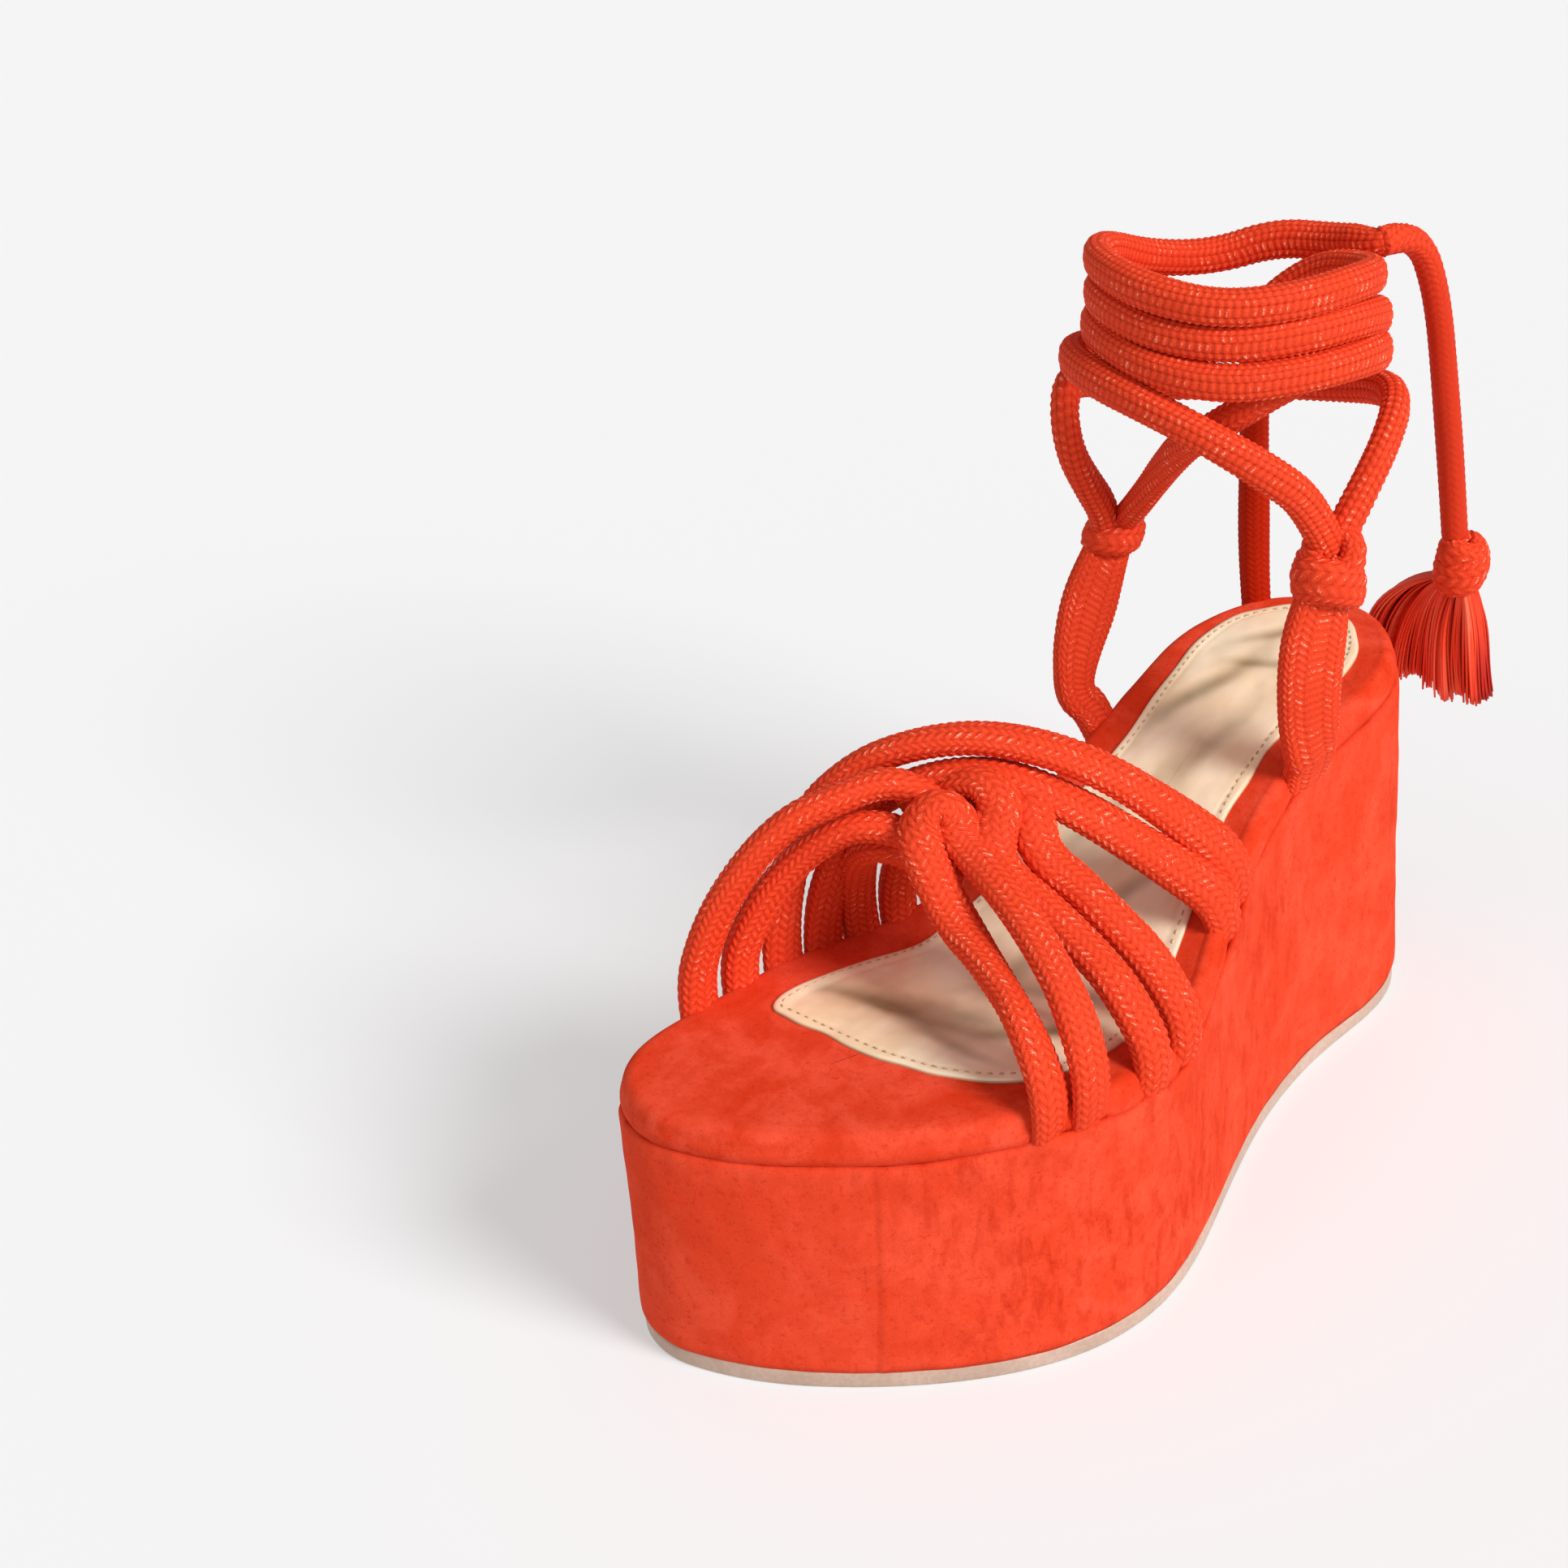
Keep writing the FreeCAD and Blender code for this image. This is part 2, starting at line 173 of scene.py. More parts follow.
def braid_material(name, shade, lit, glint, glint_from):
    """Cord: painted shade between the strands, painted light on their crests, and painted highlight glints on
    the crests.
    """
    shader = Shader(name)
    relief = shader.attribute("relief")
    tone = shader.attribute("tone")
    yarn = shader.noise(0.4 * MM, detail=2.0)
    patch = shader.noise(16 * MM, detail=2.0)
    half = tuple(0.35 * s + 0.65 * c for s, c in zip(shade, lit))
    # painted shade in the hollows between the strands, painted light on the crests
    base = shader.ramp(relief, [(0.02, shade), (0.27, half), (0.78, lit)])
    base = shader.mix(shader.ramp(patch, [(0.35, 0.0), (0.75, 0.35)]), base, half)
    base = shader.mix(shader.ramp(tone, [(0.0, 0.3), (0.5, 0.0)]), base, half)
    base = shader.mix(shader.ramp(yarn, [(0.35, 0.3), (0.55, 0.0)]), base, shade)
    # painted shade on the hanging end of the lace: this attribute pulls the colour towards the darker tones
    tail_shade = shader.attribute("tail_shade")
    base = shader.mix(shader.math("MULTIPLY", tail_shade, 0.62), base, half)
    base = shader.mix(shader.math("MULTIPLY", tail_shade, 0.30), base, shade)
    # painted highlight: bright glints on the raised crests of the strands
    shine = shader.math("MULTIPLY", shader.math("MULTIPLY", relief, yarn), tone)
    painted_glints = shader.ramp(shine, [(glint_from, 0.0), (glint_from + 0.14, 0.75)])
    base = shader.mix(painted_glints, base, glint)
    shader.bump((yarn, 0.4, 0.25 * MM))
    shader.set(Specular_IOR_Level=0.06)
    return shader.finish(base, shader.ramp(yarn, [(0.3, 0.75), (0.7, 0.5)]))


def suede_material(name, dark, mid, light, streak):
    """Napped suede: cloudy patches, fine flecks and, where streak is over 0, nap brushed up and down."""
    shader = Shader(name)
    cloud = shader.noise(22 * MM, detail=6.0, distortion=0.8, roughness=0.6)
    blotch = shader.noise(9 * MM, detail=5.0, distortion=0.3, roughness=0.6)
    nap = shader.noise(0.45 * MM, detail=3.0, roughness=0.7)
    fleck = shader.noise(1.6 * MM, detail=4.0, roughness=0.75)
    base = shader.ramp(cloud, [(0.38, mid), (0.60, light)])
    base = shader.mix(shader.ramp(blotch, [(0.38, 0.6), (0.52, 0.0)]), base, mid)
    brushed = shader.noise(4.0 * MM, detail=6.0, stretch=(1.0, 1.0, 0.4), distortion=0.4, roughness=0.66)
    streaks = shader.ramp(brushed, [(0.38, streak), (0.54, 0.0)])
    marks = shader.math("MULTIPLY", streaks, shader.attribute("brushed"))
    base = shader.mix(marks, base, dark)
    base = shader.mix(shader.ramp(fleck, [(0.32, 0.4), (0.46, 0.0)]), base, dark)
    base = shader.mix(shader.ramp(nap, [(0.35, 0.2), (0.65, 0.0)]), base, dark)
    # painted shade in grooves and recesses, from the attribute that the wedge and footbed set
    base = shader.mix(shader.ramp(shader.attribute("crease_shade"), [(0.0, 0.0), (1.0, 0.8)]), base, dark)
    shader.bump((blotch, 0.12, 1.0 * MM), (fleck, 0.25, 0.35 * MM), (nap, 0.35, 0.2 * MM))
    shader.set(Specular_IOR_Level=0.02, Sheen_Weight=0.05, Sheen_Roughness=0.5,
               Sheen_Tint=(1.0, 0.25, 0.12, 1.0))
    return shader.finish(base, shader.ramp(nap, [(0.3, 0.9), (0.7, 0.72)]))


SUEDE_DARK = (0.42, 0.012, 0.002)
YARN_DARK = (0.50, 0.012, 0.002)


def make_materials():
    red = braid_material("red_cord", (0.36, 0.007, 0.001), (0.90, 0.076, 0.025), (1.0, 0.46, 0.30), 0.33)
    # darker copy of the cord: painted shade for the heel cord, which stands in shadow behind the heel
    shaded_red = braid_material("red_cord_shaded", (0.20, 0.003, 0.0005), (0.55, 0.022, 0.002), (1.0, 0.34, 0.2),
                            0.47)
    suede = suede_material("wedge_suede", SUEDE_DARK, (0.76, 0.058, 0.020), (0.86, 0.086, 0.038), 0.5)
    top = suede_material("footbed_suede", SUEDE_DARK, (0.68, 0.042, 0.011), (0.84, 0.086, 0.040), 0.0)
    return {
        "braid": red, "shaded_cord": shaded_red, "suede": suede, "footbed": top, "gold": gold_material(),
        "rubber": rubber_material(), "thread": thread_material(), "yarn": yarn_material(),
    }


def gold_material():
    """Soft metallic leather with random scuffs, and painted shade in olive brown in its folds and along its
    cut edge.
    """
    shader = Shader("gold_leather")
    crease_shade = shader.attribute("crease_shade")
    wide = shader.noise(30 * MM, detail=3.0, distortion=0.5)
    grain = shader.noise(0.9 * MM, detail=3.0)
    scuff = shader.noise(7 * MM, detail=5.0, stretch=(1.0, 0.3, 1.0))
    base = shader.ramp(wide, [(0.3, (1.0, 0.78, 0.50)), (0.7, (1.0, 0.90, 0.68))])
    base = shader.mix(shader.ramp(scuff, [(0.35, 0.3), (0.6, 0.0)]), base, (0.74, 0.52, 0.27))
    # painted shade, olive brown, in the folds and under the cut edge
    base = shader.mix(crease_shade, base, (0.30, 0.21, 0.09))
    shader.bump((scuff, 0.08, 0.5 * MM), (grain, 0.2, 0.12 * MM))
    shader.set(Metallic=0.12, Specular_IOR_Level=0.7)
    return shader.finish(base, shader.ramp(grain, [(0.3, 0.44), (0.7, 0.32)]))


def rubber_material():
    shader = Shader("outsole_rubber")
    cloud = shader.noise(20 * MM, detail=3.0)
    dust = shader.noise(1.2 * MM, detail=4.0)
    base = shader.ramp(cloud, [(0.3, (0.46, 0.31, 0.23)), (0.7, (0.60, 0.43, 0.34))])
    base = shader.mix(shader.ramp(dust, [(0.4, 0.3), (0.6, 0.0)]), base, (0.36, 0.24, 0.18))
    shader.bump((dust, 0.15, 0.15 * MM))
    shader.set(Specular_IOR_Level=0.5)
    return shader.finish(base, shader.ramp(dust, [(0.3, 0.5), (0.7, 0.36)]))


def thread_material():
    shader = Shader("stitch_thread")
    twist = shader.noise(0.4 * MM, detail=2.0)
    base = shader.ramp(twist, [(0.3, (0.42, 0.28, 0.13)), (0.7, (0.68, 0.50, 0.28))])
    shader.bump((twist, 0.4, 0.1 * MM))
    return shader.finish(base, shader.ramp(twist, [(0.3, 0.7), (0.7, 0.5)]))


def yarn_material():
    """Silky yarn of the tassel: each strand has its own tone, with painted shade towards the edges of each
    lock and the back, and painted highlight bands along the strands.
    """
    shader = Shader("tassel_yarn")
    tone = shader.attribute("tone")
    fibre = shader.noise(0.3 * MM, detail=2.0)
    base = shader.ramp(tone, [(0.0, YARN_DARK), (0.5, (0.92, 0.062, 0.016)), (1.0, (1.0, 0.18, 0.09))])
    base = shader.mix(shader.ramp(fibre, [(0.4, 0.15), (0.6, 0.0)]), base, YARN_DARK)
    shader.bump((fibre, 0.25, 0.1 * MM))
    shader.set(Specular_IOR_Level=0.35)
    return shader.finish(base, shader.ramp(fibre, [(0.3, 0.5), (0.7, 0.34)]))


# ---- mesh helpers -------------------------------------------------------------------------------
def new_piece(name, vertices, faces, material, body, stands_for=(), attributes=None):
    """A smooth-shaded mesh piece on a body, with float attributes on its points."""
    mesh = bpy.data.meshes.new(name)
    mesh.from_pydata(np.asarray(vertices).tolist(), [], faces if isinstance(faces, list) else faces.tolist())
    for key, values in (attributes or {}).items():
        layer = mesh.attributes.new(key, "FLOAT", "POINT")
        layer.data.foreach_set("value", np.asarray(values, dtype=np.float32))
    mesh.shade_smooth()
    mesh.materials.append(material)
    piece = bpy.data.objects.new(name, mesh)
    bpy.context.scene.collection.objects.link(piece)
    if stands_for:
        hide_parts(*stands_for)
    if body:
        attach(piece, body)
    return piece


def grid_faces(rows, columns, closed):
    """Quads of a grid of points, rows by columns; closed joins the last column to the first."""
    i, j = np.meshgrid(np.arange(rows - 1), np.arange(columns if closed else columns - 1), indexing="ij")
    k = (j + 1) % columns
    low, high = i * columns, (i + 1) * columns
    return np.stack([low + j, low + k, high + k, high + j], -1).reshape(-1, 4)


def spline_points(route, step):
    """Even points along the order-3 NURBS spline that has route as its control points."""
    curve = bpy.data.curves.new("route", "CURVE")
    curve.dimensions = "3D"
    curve.resolution_u = 24
    spline = curve.splines.new("NURBS")
    spline.points.add(len(route) - 1)
    for point, place in zip(spline.points, route):
        point.co = (*place, 1.0)
    spline.order_u = 3
    spline.use_endpoint_u = True
    holder = bpy.data.objects.new("route", curve)
    mesh = bpy.data.meshes.new_from_object(holder)
    raw = np.array([v.co[:] for v in mesh.vertices])
    bpy.data.objects.remove(holder)
    bpy.data.meshes.remove(mesh)
    bpy.data.curves.remove(curve)
    return resampled(raw, step)


def resampled(points, step):
    """The polyline's points moved to an even spacing of about step."""
    s = np.concatenate([[0.0], np.cumsum(np.linalg.norm(np.diff(points, axis=0), axis=1))])
    count = max(int(round(s[-1] / step)), 2) + 1
    even = np.linspace(0.0, s[-1], count)
    return np.stack([np.interp(even, s, points[:, k]) for k in range(3)], -1)


def unit(v):
    return v / np.maximum(np.linalg.norm(v, axis=-1, keepdims=True), 1e-12)


def rings_frames(points, outward):
    """Tangent, outward and side directions at each point; outward is a function of the points."""
    tangent = unit(np.gradient(points, axis=0))
    out = outward(points)
    out = unit(out - (out * tangent).sum(-1, keepdims=True) * tangent)
    return tangent, out, np.cross(tangent, out)


def away_from_ankle(points):
    out = points - np.array([0.0, ANKLE_Y * MM, 0.0])
    out[:, 2] = 0.0
    return out


def away_from_foot(points):
    """Outward from a line through the middle of the foot."""
    out = points.copy()
    out[:, 1] = 0.0
    out[:, 2] -= 88.0 * MM
    return out


# ---- braided cord -------------------------------------------------------------------------------
STEP = 0.45 * MM            # ring spacing
CELL_W = 2.25 * MM          # width of a column of the braid
CELL_L = 2.2 * MM           # length of one strand's bump along the cord
LEAN = 0.8                  # how far a bump leans across its column, in bump lengths
RELIEF = 0.5 * MM


def braid(name, route, material, outward, width, thick, body=None, stands_for=(), cell=1.0, square=2.0,
          taper=None, beads=False):
    """Braided tube along a route: columns of leaning bumps that meet in chevrons.

    width lies across outward and thick along it. A square over 2 flattens the section's faces. taper(t)
    gives factors (width, thick, relief) along the length t from 0 to 1. beads sets round bumps instead.
    """
    points = spline_points(route, STEP) if len(route) < 200 else resampled(route, STEP)
    _, out, side = rings_frames(points, outward)
    rows = len(points)
    girth = math.pi * (width + thick) / 2
    columns = max(6, 2 * int(round(girth / (CELL_W * cell) / 2)))
    around = columns * 5
    phi = np.arange(around) / around * 2 * math.pi
    power = 2.0 / square
    cx = np.sign(np.cos(phi)) * np.abs(np.cos(phi)) ** power
    cy = np.sign(np.sin(phi)) * np.abs(np.sin(phi)) ** power
    t = np.linspace(0.0, 1.0, rows)
    scale = np.ones((rows, 3)) if taper is None else np.array([taper(x) for x in t])
    s = t * np.linalg.norm(np.diff(points, axis=0), axis=1).sum()
    at = np.arange(around) / 5.0
    column = np.floor(at).astype(int)
    u = at - column - 0.5
    sign = np.where(column % 2 == 0, 1.0, -1.0)
    drift = 0.3 * np.sin(s[:, None] / (12 * MM) + column[None, :] * 1.7)
    lean = sign * u * LEAN if not beads else sign * u * 0.25 + 0.5 * (column % 2)
    phase = s[:, None] / (CELL_L * cell) + lean[None, :] + drift
    ridge = 1.0 - np.abs(2.0 * u) ** 3
    valley = 0.22 if beads else 0.4
    wave = 0.5 + 0.5 * np.cos(2 * math.pi * phase)
    height = (0.2 + 0.8 * wave) * (valley + (1.0 - valley) * ridge[None, :])
    start = sum(ord(letter) for letter in name)
    plump = 1.0 + 0.03 * np.sin(s / (8 * MM) + start) + 0.03 * np.sin(s / (19 * MM) + 2 * start)
    lift = (height - 0.6) * RELIEF * cell * scale[:, 2:3]
    half_w = (width / 2 * scale[:, 0:1] * plump[:, None]) * cx[None, :]
    half_t = (thick / 2 * scale[:, 1:2]) * cy[None, :]
    normal = side[:, None, :] * (cx / width)[None, :, None] + out[:, None, :] * (cy / thick)[None, :, None]
    normal = unit(normal)
    place = points[:, None, :] + side[:, None, :] * half_w[..., None] + out[:, None, :] * half_t[..., None]
    place = place + normal * lift[..., None]
    bump_id = np.floor(phase).astype(int) * 131 + column[None, :] * 17
    tone = np.modf(np.abs(np.sin(bump_id * 12.9898) * 43758.5453))[0]
    vertices = place.reshape(-1, 3)
    faces = grid_faces(rows, around, True)
    tone = tone.reshape(-1)
    # a flatter stretch also gets relief values nearer the dark end of the cord's colour: painted shade
    height = (0.16 + (height - 0.16) * scale[:, 2:3]).reshape(-1)
    # closed ends
    first, last = len(vertices), len(vertices) + 1
    vertices = np.vstack([vertices, points[:1], points[-1:]])
    tone = np.append(tone, [0.3, 0.3])
    height = np.append(height, [0.3, 0.3])
    ring = np.arange(around)
    nxt = (ring + 1) % around
    base = (rows - 1) * around
    caps = [(first, b, a) for a, b in zip(ring, nxt)]
    caps += [(last, base + a, base + b) for a, b in zip(ring, nxt)]
    return new_piece(name, vertices, faces.tolist() + caps, material, body, stands_for,
                     {"relief": height, "tone": tone})


# ---- routes of the cords, in millimetres --------------------------------------------------------
# front bight: up from the outer side, over the medial cords and back down beside itself
FRONT_BIGHT = [
    (51.0, -73.5, 66.8), (49.5, -73.5, 79.0), (41.5, -69.5, 90.5), (24.5, -60.5, 95.0),
    (8.0, -53.0, 98.5), (-1.5, -51.0, 109.5), (-6.5, -49.0, 116.0), (-8.0, -45.5, 120.0),
    (-6.0, -41.0, 121.5), (-2.5, -39.5, 119.0), (-0.5, -41.0, 114.5), (5.0, -41.5, 111.0),
    (18.5, -46.5, 107.5), (34.5, -53.5, 101.0), (47.5, -59.5, 93.0), (54.5, -63.0, 80.0),
    (55.5, -63.5, 66.0),
]
# the two rear cords of the outer side, which curl over the top and dive under the cross cords
CURLS = [
    [(56.5, -42.0, 63.5), (54.5, -41.5, 77.0), (46.5, -40.0, 87.5), (34.0, -38.0, 94.0), (21.0, -37.0, 100.0),
     (13.5, -38.0, 104.0), (8.0, -38.0, 109.0), (5.0, -35.0, 114.0), (4.0, -30.0, 118.0), (0.0, -28.0, 121.0),
     (-5.0, -28.0, 121.5), (-11.0, -29.5, 119.0), (-16.0, -30.0, 114.0)],
    [(54.5, -26.0, 62.5), (52.5, -25.5, 76.0), (45.0, -25.5, 87.0), (33.0, -27.0, 97.0), (22.0, -26.5, 102.5),
     (17.5, -27.5, 105.0), (12.5, -27.0, 108.5), (9.0, -24.5, 112.5), (5.5, -21.5, 115.0),
     (0.5, -20.5, 114.5), (-6.0, -21.5, 111.0)],
]
VAMP_MEDIAL = [
    [(-49.5, -87.5, 66.2), (-49.5, -87.0, 78.0), (-45.5, -82.5, 95.0), (-38.5, -74.5, 111.0),
     (-32.0, -65.5, 120.5), (-25.5, -56.0, 123.5), (-22.0, -48.0, 124.5), (-18.5, -43.5, 124.5),
     (-15.5, -40.0, 122.0), (-14.0, -36.5, 116.0), (-12.0, -33.0, 110.0)],
    [(-48.5, -74.0, 66.8), (-47.5, -73.0, 77.0), (-43.0, -68.5, 92.0), (-36.0, -61.0, 105.0),
     (-26.5, -54.0, 114.0), (-19.5, -48.5, 114.5), (-13.0, -43.5, 111.5), (-4.0, -37.0, 107.0)],
    [(-45.8, -32.5, 62.5), (-44.0, -32.5, 75.0), (-38.5, -36.0, 90.0), (-29.0, -42.0, 102.5),
     (-21.0, -44.5, 106.5), (-13.0, -41.0, 103.5), (-3.0, -36.0, 101.0)],
    [(-43.2, -21.5, 63.5), (-41.0, -22.0, 77.0), (-33.5, -23.5, 92.0), (-21.5, -24.0, 105.0),
     (-8.0, -27.0, 110.5), (2.0, -29.0, 108.0)],
]
REAR_CROSS = [
    [(39.0, 20.0, 78.6), (36.5, 18.5, 88.0), (25.5, 9.5, 104.5), (10.0, -4.0, 120.5), (-7.0, -17.5, 128.5),
     (-22.0, -29.0, 127.5), (-35.0, -38.5, 121.0), (-45.5, -48.0, 107.0), (-51.5, -55.5, 88.0),
     (-50.2, -60.0, 66.4)],
    [(41.0, 9.5, 74.0), (38.0, 8.0, 84.5), (26.5, 0.0, 97.5), (12.0, -10.5, 111.0), (-2.0, -19.5, 120.0),
     (-14.0, -27.0, 120.5), (-27.0, -33.5, 114.5), (-38.0, -39.5, 103.0), (-46.0, -44.0, 86.0),
     (-48.0, -46.0, 63.8)],
]
# ankle cords, as (angle, height, radius) about the ankle: 0 faces the toe, +90 the outer side
WRAP_LACE = [
    (72, 155, 36.0), (62, 170, 37.5), (45, 181, 39.0), (25, 190.5, 39.5), (0, 197.0, 39.5),
    (-27, 198.5, 40.5), (-54, 196.5, 42.5), (-82, 190.5, 38.5), (-112, 185.0, 35.5), (-145, 182.0, 35.0),
    (-178, 182.5, 35.0), (-210, 189.0, 35.0), (-240, 197.0, 35.0), (-268, 202.5, 36.5),
    (-298, 204.5, 37.5), (-330, 203.5, 37.5), (-360, 205.2, 36.8), (-390, 206.5, 36.0),
    (-414, 205.0, 36.0), (-442, 199.8, 35.5), (-472, 194.0, 35.0), (-505, 190.8, 35.0),
    (-538, 191.5, 35.0), (-570, 198.5, 35.0), (-600, 206.0, 35.0), (-628, 212.0, 34.5),
    (-658, 213.5, 34.5), (-690, 212.5, 34.5), (-720, 213.5, 34.5), (-750, 215.0, 35.0),
    (-774, 213.7, 35.0), (-802, 209.0, 33.5), (-824, 202.0, 28.5), (-848, 191.5, 26.0),
    (-874, 193.0, 26.0), (-896, 203.5, 27.5), (-916, 209.5, 30.0), (-940, 213.0, 32.0),
    (-964, 217.5, 33.5), (-990, 221.5, 34.0), (-1021, 222.2, 34.5), (-1053, 221.8, 35.0),
    (-1085, 223.8, 35.0), (-1112, 224.2, 34.5), (-1134, 222.2, 34.5), (-1160, 217.8, 36.2),
    (-1188, 208.5, 37.5), (-1216, 205.5, 37.5), (-1240, 210.5, 38.0), (-1262, 211.0, 39.5),
    (-1284, 215.0, 39.8),
]
REAR_LACE = [
    (76, 157, 36.0), (88, 168.5, 37.5), (103, 177.5, 38.5), (121, 182.3, 39.0), (143, 180.0, 38.5),
    (170, 174.0, 37.0), (200, 171.5, 36.0), (228, 171.5, 36.0), (252, 174.0, 37.0), (272, 178.5, 39.0),
    (288, 184.0, 41.0), (300, 186.0, 43.0), (308, 180.0, 43.5), (308, 169.5, 42.0), (300, 158.5, 38.5),
    (289, 148.0, 36.0),
]
FRONT_LACE = [
    (-79, 143, 32.5), (-66, 152.0, 26.0), (-42, 166.0, 19.5), (-4, 178.5, 21.5), (24, 189.0, 29.5),
    (46, 196.0, 29.0), (68, 199.0, 27.5), (94, 200.0, 27.0), (120, 199.0, 26.8),
]
BACK_CORD = [
    (-26.8, 117.6, 96.2), (-25.5, 117.0, 118.0), (-23.5, 115.5, 144.0), (-22.3, 114.2, 170.0),
    (-21.7, 113.6, 189.0),
]
REAR_END = [(-34.2, 65.0, 140.5)]
BACK_END = [(-20.4, 110.0, 190.5), (-18.6, 106.4, 188.0)]
WRAP_END = [(17.8, 112.6, 215.3)]
# the free end of the lace: over the back of the wraps, then straight down to the tassel's knot
TAIL = [
    (17.3, 111.2, 215.4), (18.7, 119.4, 214.9), (20.5, 126.1, 209.2), (21.9, 129.1, 199.1),
    (22.9, 130.6, 189.0), (23.5, 131.6, 179.0), (24.4, 132.9, 163.0), (25.6, 134.2, 143.0),
    (26.5, 134.9, 126.6),
]


def metres(route):
    return [tuple(c * MM for c in point) for point in route]


def around_ankle(rows):
    points = []
    for angle, height, radius in rows:
        a = math.radians(angle)
        points.append((radius * math.sin(a), ANKLE_Y - radius * math.cos(a), height))
    return metres(points)


# ---- cords of the vamp and the ankle ------------------------------------------------------------
TUCK_IN, TUCK_DOWN = 5.0, 6.5       # a cord's end from the wedge's lip, in millimetres
BEND_OUT, BEND_UP = 1.0, 9.5        # its bend from the same lip
VAMP_CORD = (11.2 * MM, 7.8 * MM)   # width and thickness of the flattened cords
CROSS_CORD = (11.8 * MM, 7.6 * MM)
WRAP_CORD = (9.2 * MM, 7.0 * MM)
REAR_CORD = (8.8 * MM, 7.2 * MM)
FRONT_CORD = (8.2 * MM, 7.2 * MM)
HEEL_CORD = (8.0 * MM, 6.4 * MM)
OUTER_STRAP = (16.5 * MM, 6.2 * MM)
INNER_STRAP = (13.5 * MM, 6.0 * MM)


def edge_at(x, y):
    """Point of the wedge's lip nearest to x, y, in millimetres, and the outline's outward normal there."""
    k = int(np.argmin(np.hypot(SOLE_RING[:, 0] - x * MM, SOLE_RING[:, 1] - y * MM)))
    point, normal = SOLE_RING[k] / MM, SOLE_OUT[k]
    lip = float(top_height(SOLE_RING[k, 1])) / MM - FOOTBED_T / MM
    return Vector((point[0], point[1], lip)), Vector((normal[0], normal[1], 0.0))


def tucked(route, ends="first"):
    """Bends a cord's end round the footbed's edge, so that it goes in behind the wedge's lip."""
    route = [Vector(point) for point in route]
    for end, nxt in {"first": ((0, 1),), "both": ((0, 1), (-1, -2))}[ends]:
        lip, out = edge_at(route[end].x, route[end].y)
        route[end] = lip - out * TUCK_IN - Vector((0.0, 0.0, TUCK_DOWN))
        route[nxt] = lip + out * BEND_OUT + Vector((0.0, 0.0, BEND_UP))
    return metres(route)


def pressed_root(t):
    """Cord end pressed flat where it goes under the wedge's edge."""
    near = max(0.0, 1.0 - t / 0.16)
    return 1.0 + 0.12 * near, 1.0 - 0.42 * near, 1.0 - 0.5 * near


def both_roots(t):
    return pressed_root(min(t, 1.0 - t))


def make_vamp(look):
    braid("front_bight", tucked(FRONT_BIGHT, "both"), look["braid"], away_from_foot, *VAMP_CORD, "sandal",
          ("vamp_cord_lateral_1", "vamp_cord_lateral_2", "vamp_knot"), taper=both_roots)
    for number, route in enumerate(CURLS, 3):
        braid(f"curl_cord_{number}", tucked(route), look["braid"], away_from_foot, *VAMP_CORD, "sandal",
              (f"vamp_cord_lateral_{number}",), taper=pressed_root)
    for number, route in enumerate(VAMP_MEDIAL, 1):
        braid(f"medial_cord_{number}", tucked(route), look["braid"], away_from_foot, *VAMP_CORD, "sandal",
              (f"vamp_cord_medial_{number}",), taper=pressed_root)
    for number, route in enumerate(REAR_CROSS, 1):
        braid(f"cross_cord_{number}", tucked(route, "both"), look["braid"], away_from_foot, *CROSS_CORD,
              "sandal", (f"rear_cross_cord_{number}",), taper=both_roots)


def into_tail(t):
    """The wraps' last stretch narrows into the hanging end."""
    near = max(0.0, (t - 0.99) / 0.01)
    return 1.0 - 0.32 * near, 1.0 - 0.28 * near, 1.0


def shallow_shaded_end(t):
    """The heel cord: a shallow braid, coloured darker by its low relief as painted shade, and a rounded top
    end.
    """
    top = min(0.995, max(0.0, (t - 0.94) / 0.06))
    round_end = math.sqrt(1.0 - top * top)
    return round_end, round_end, 0.6 * round_end


def make_ankle(look):
    braid("wraps", around_ankle(WRAP_LACE) + metres(WRAP_END), look["braid"], away_from_ankle, *WRAP_CORD,
          "sandal", ("wrap_lace",), square=2.5, taper=into_tail, cell=0.86, beads=True)
    braid("rear_wrap", around_ankle(REAR_LACE) + metres(REAR_END), look["braid"], away_from_ankle,
          *REAR_CORD, "sandal", ("rear_lace",), square=2.3, cell=0.95, beads=True)
    braid("front_wrap", around_ankle(FRONT_LACE), look["braid"], away_from_ankle, *FRONT_CORD, "sandal",
          ("front_lace",), cell=0.85)
    braid("heel_cord", tucked(BACK_CORD + BACK_END), look["shaded_cord"], away_from_ankle, *HEEL_CORD, "sandal",
          ("back_cord",), cell=0.8, taper=shallow_shaded_end)


LATERAL_STRAP = [
    (31.5, 59.4, 80.0), (34.8, 57.6, 92.0), (34.8, 55.0, 104.0), (34.8, 54.0, 117.0), (34.8, 55.2, 130.0),
    (34.9, 58.5, 141.0), (35.0, 62.0, 150.0),
]
MEDIAL_STRAP = [
    (-29.8, 50.6, 78.0), (-33.2, 48.0, 90.5), (-33.2, 46.6, 101.0), (-33.2, 48.2, 112.0),
    (-33.3, 53.0, 121.5), (-33.6, 59.0, 130.5), (-34.0, 66.0, 138.5),
]
OUTER_KNOT = Vector((35.0, 62.5, 151.0))
INNER_KNOT = Vector((-34.0, 66.8, 139.3))


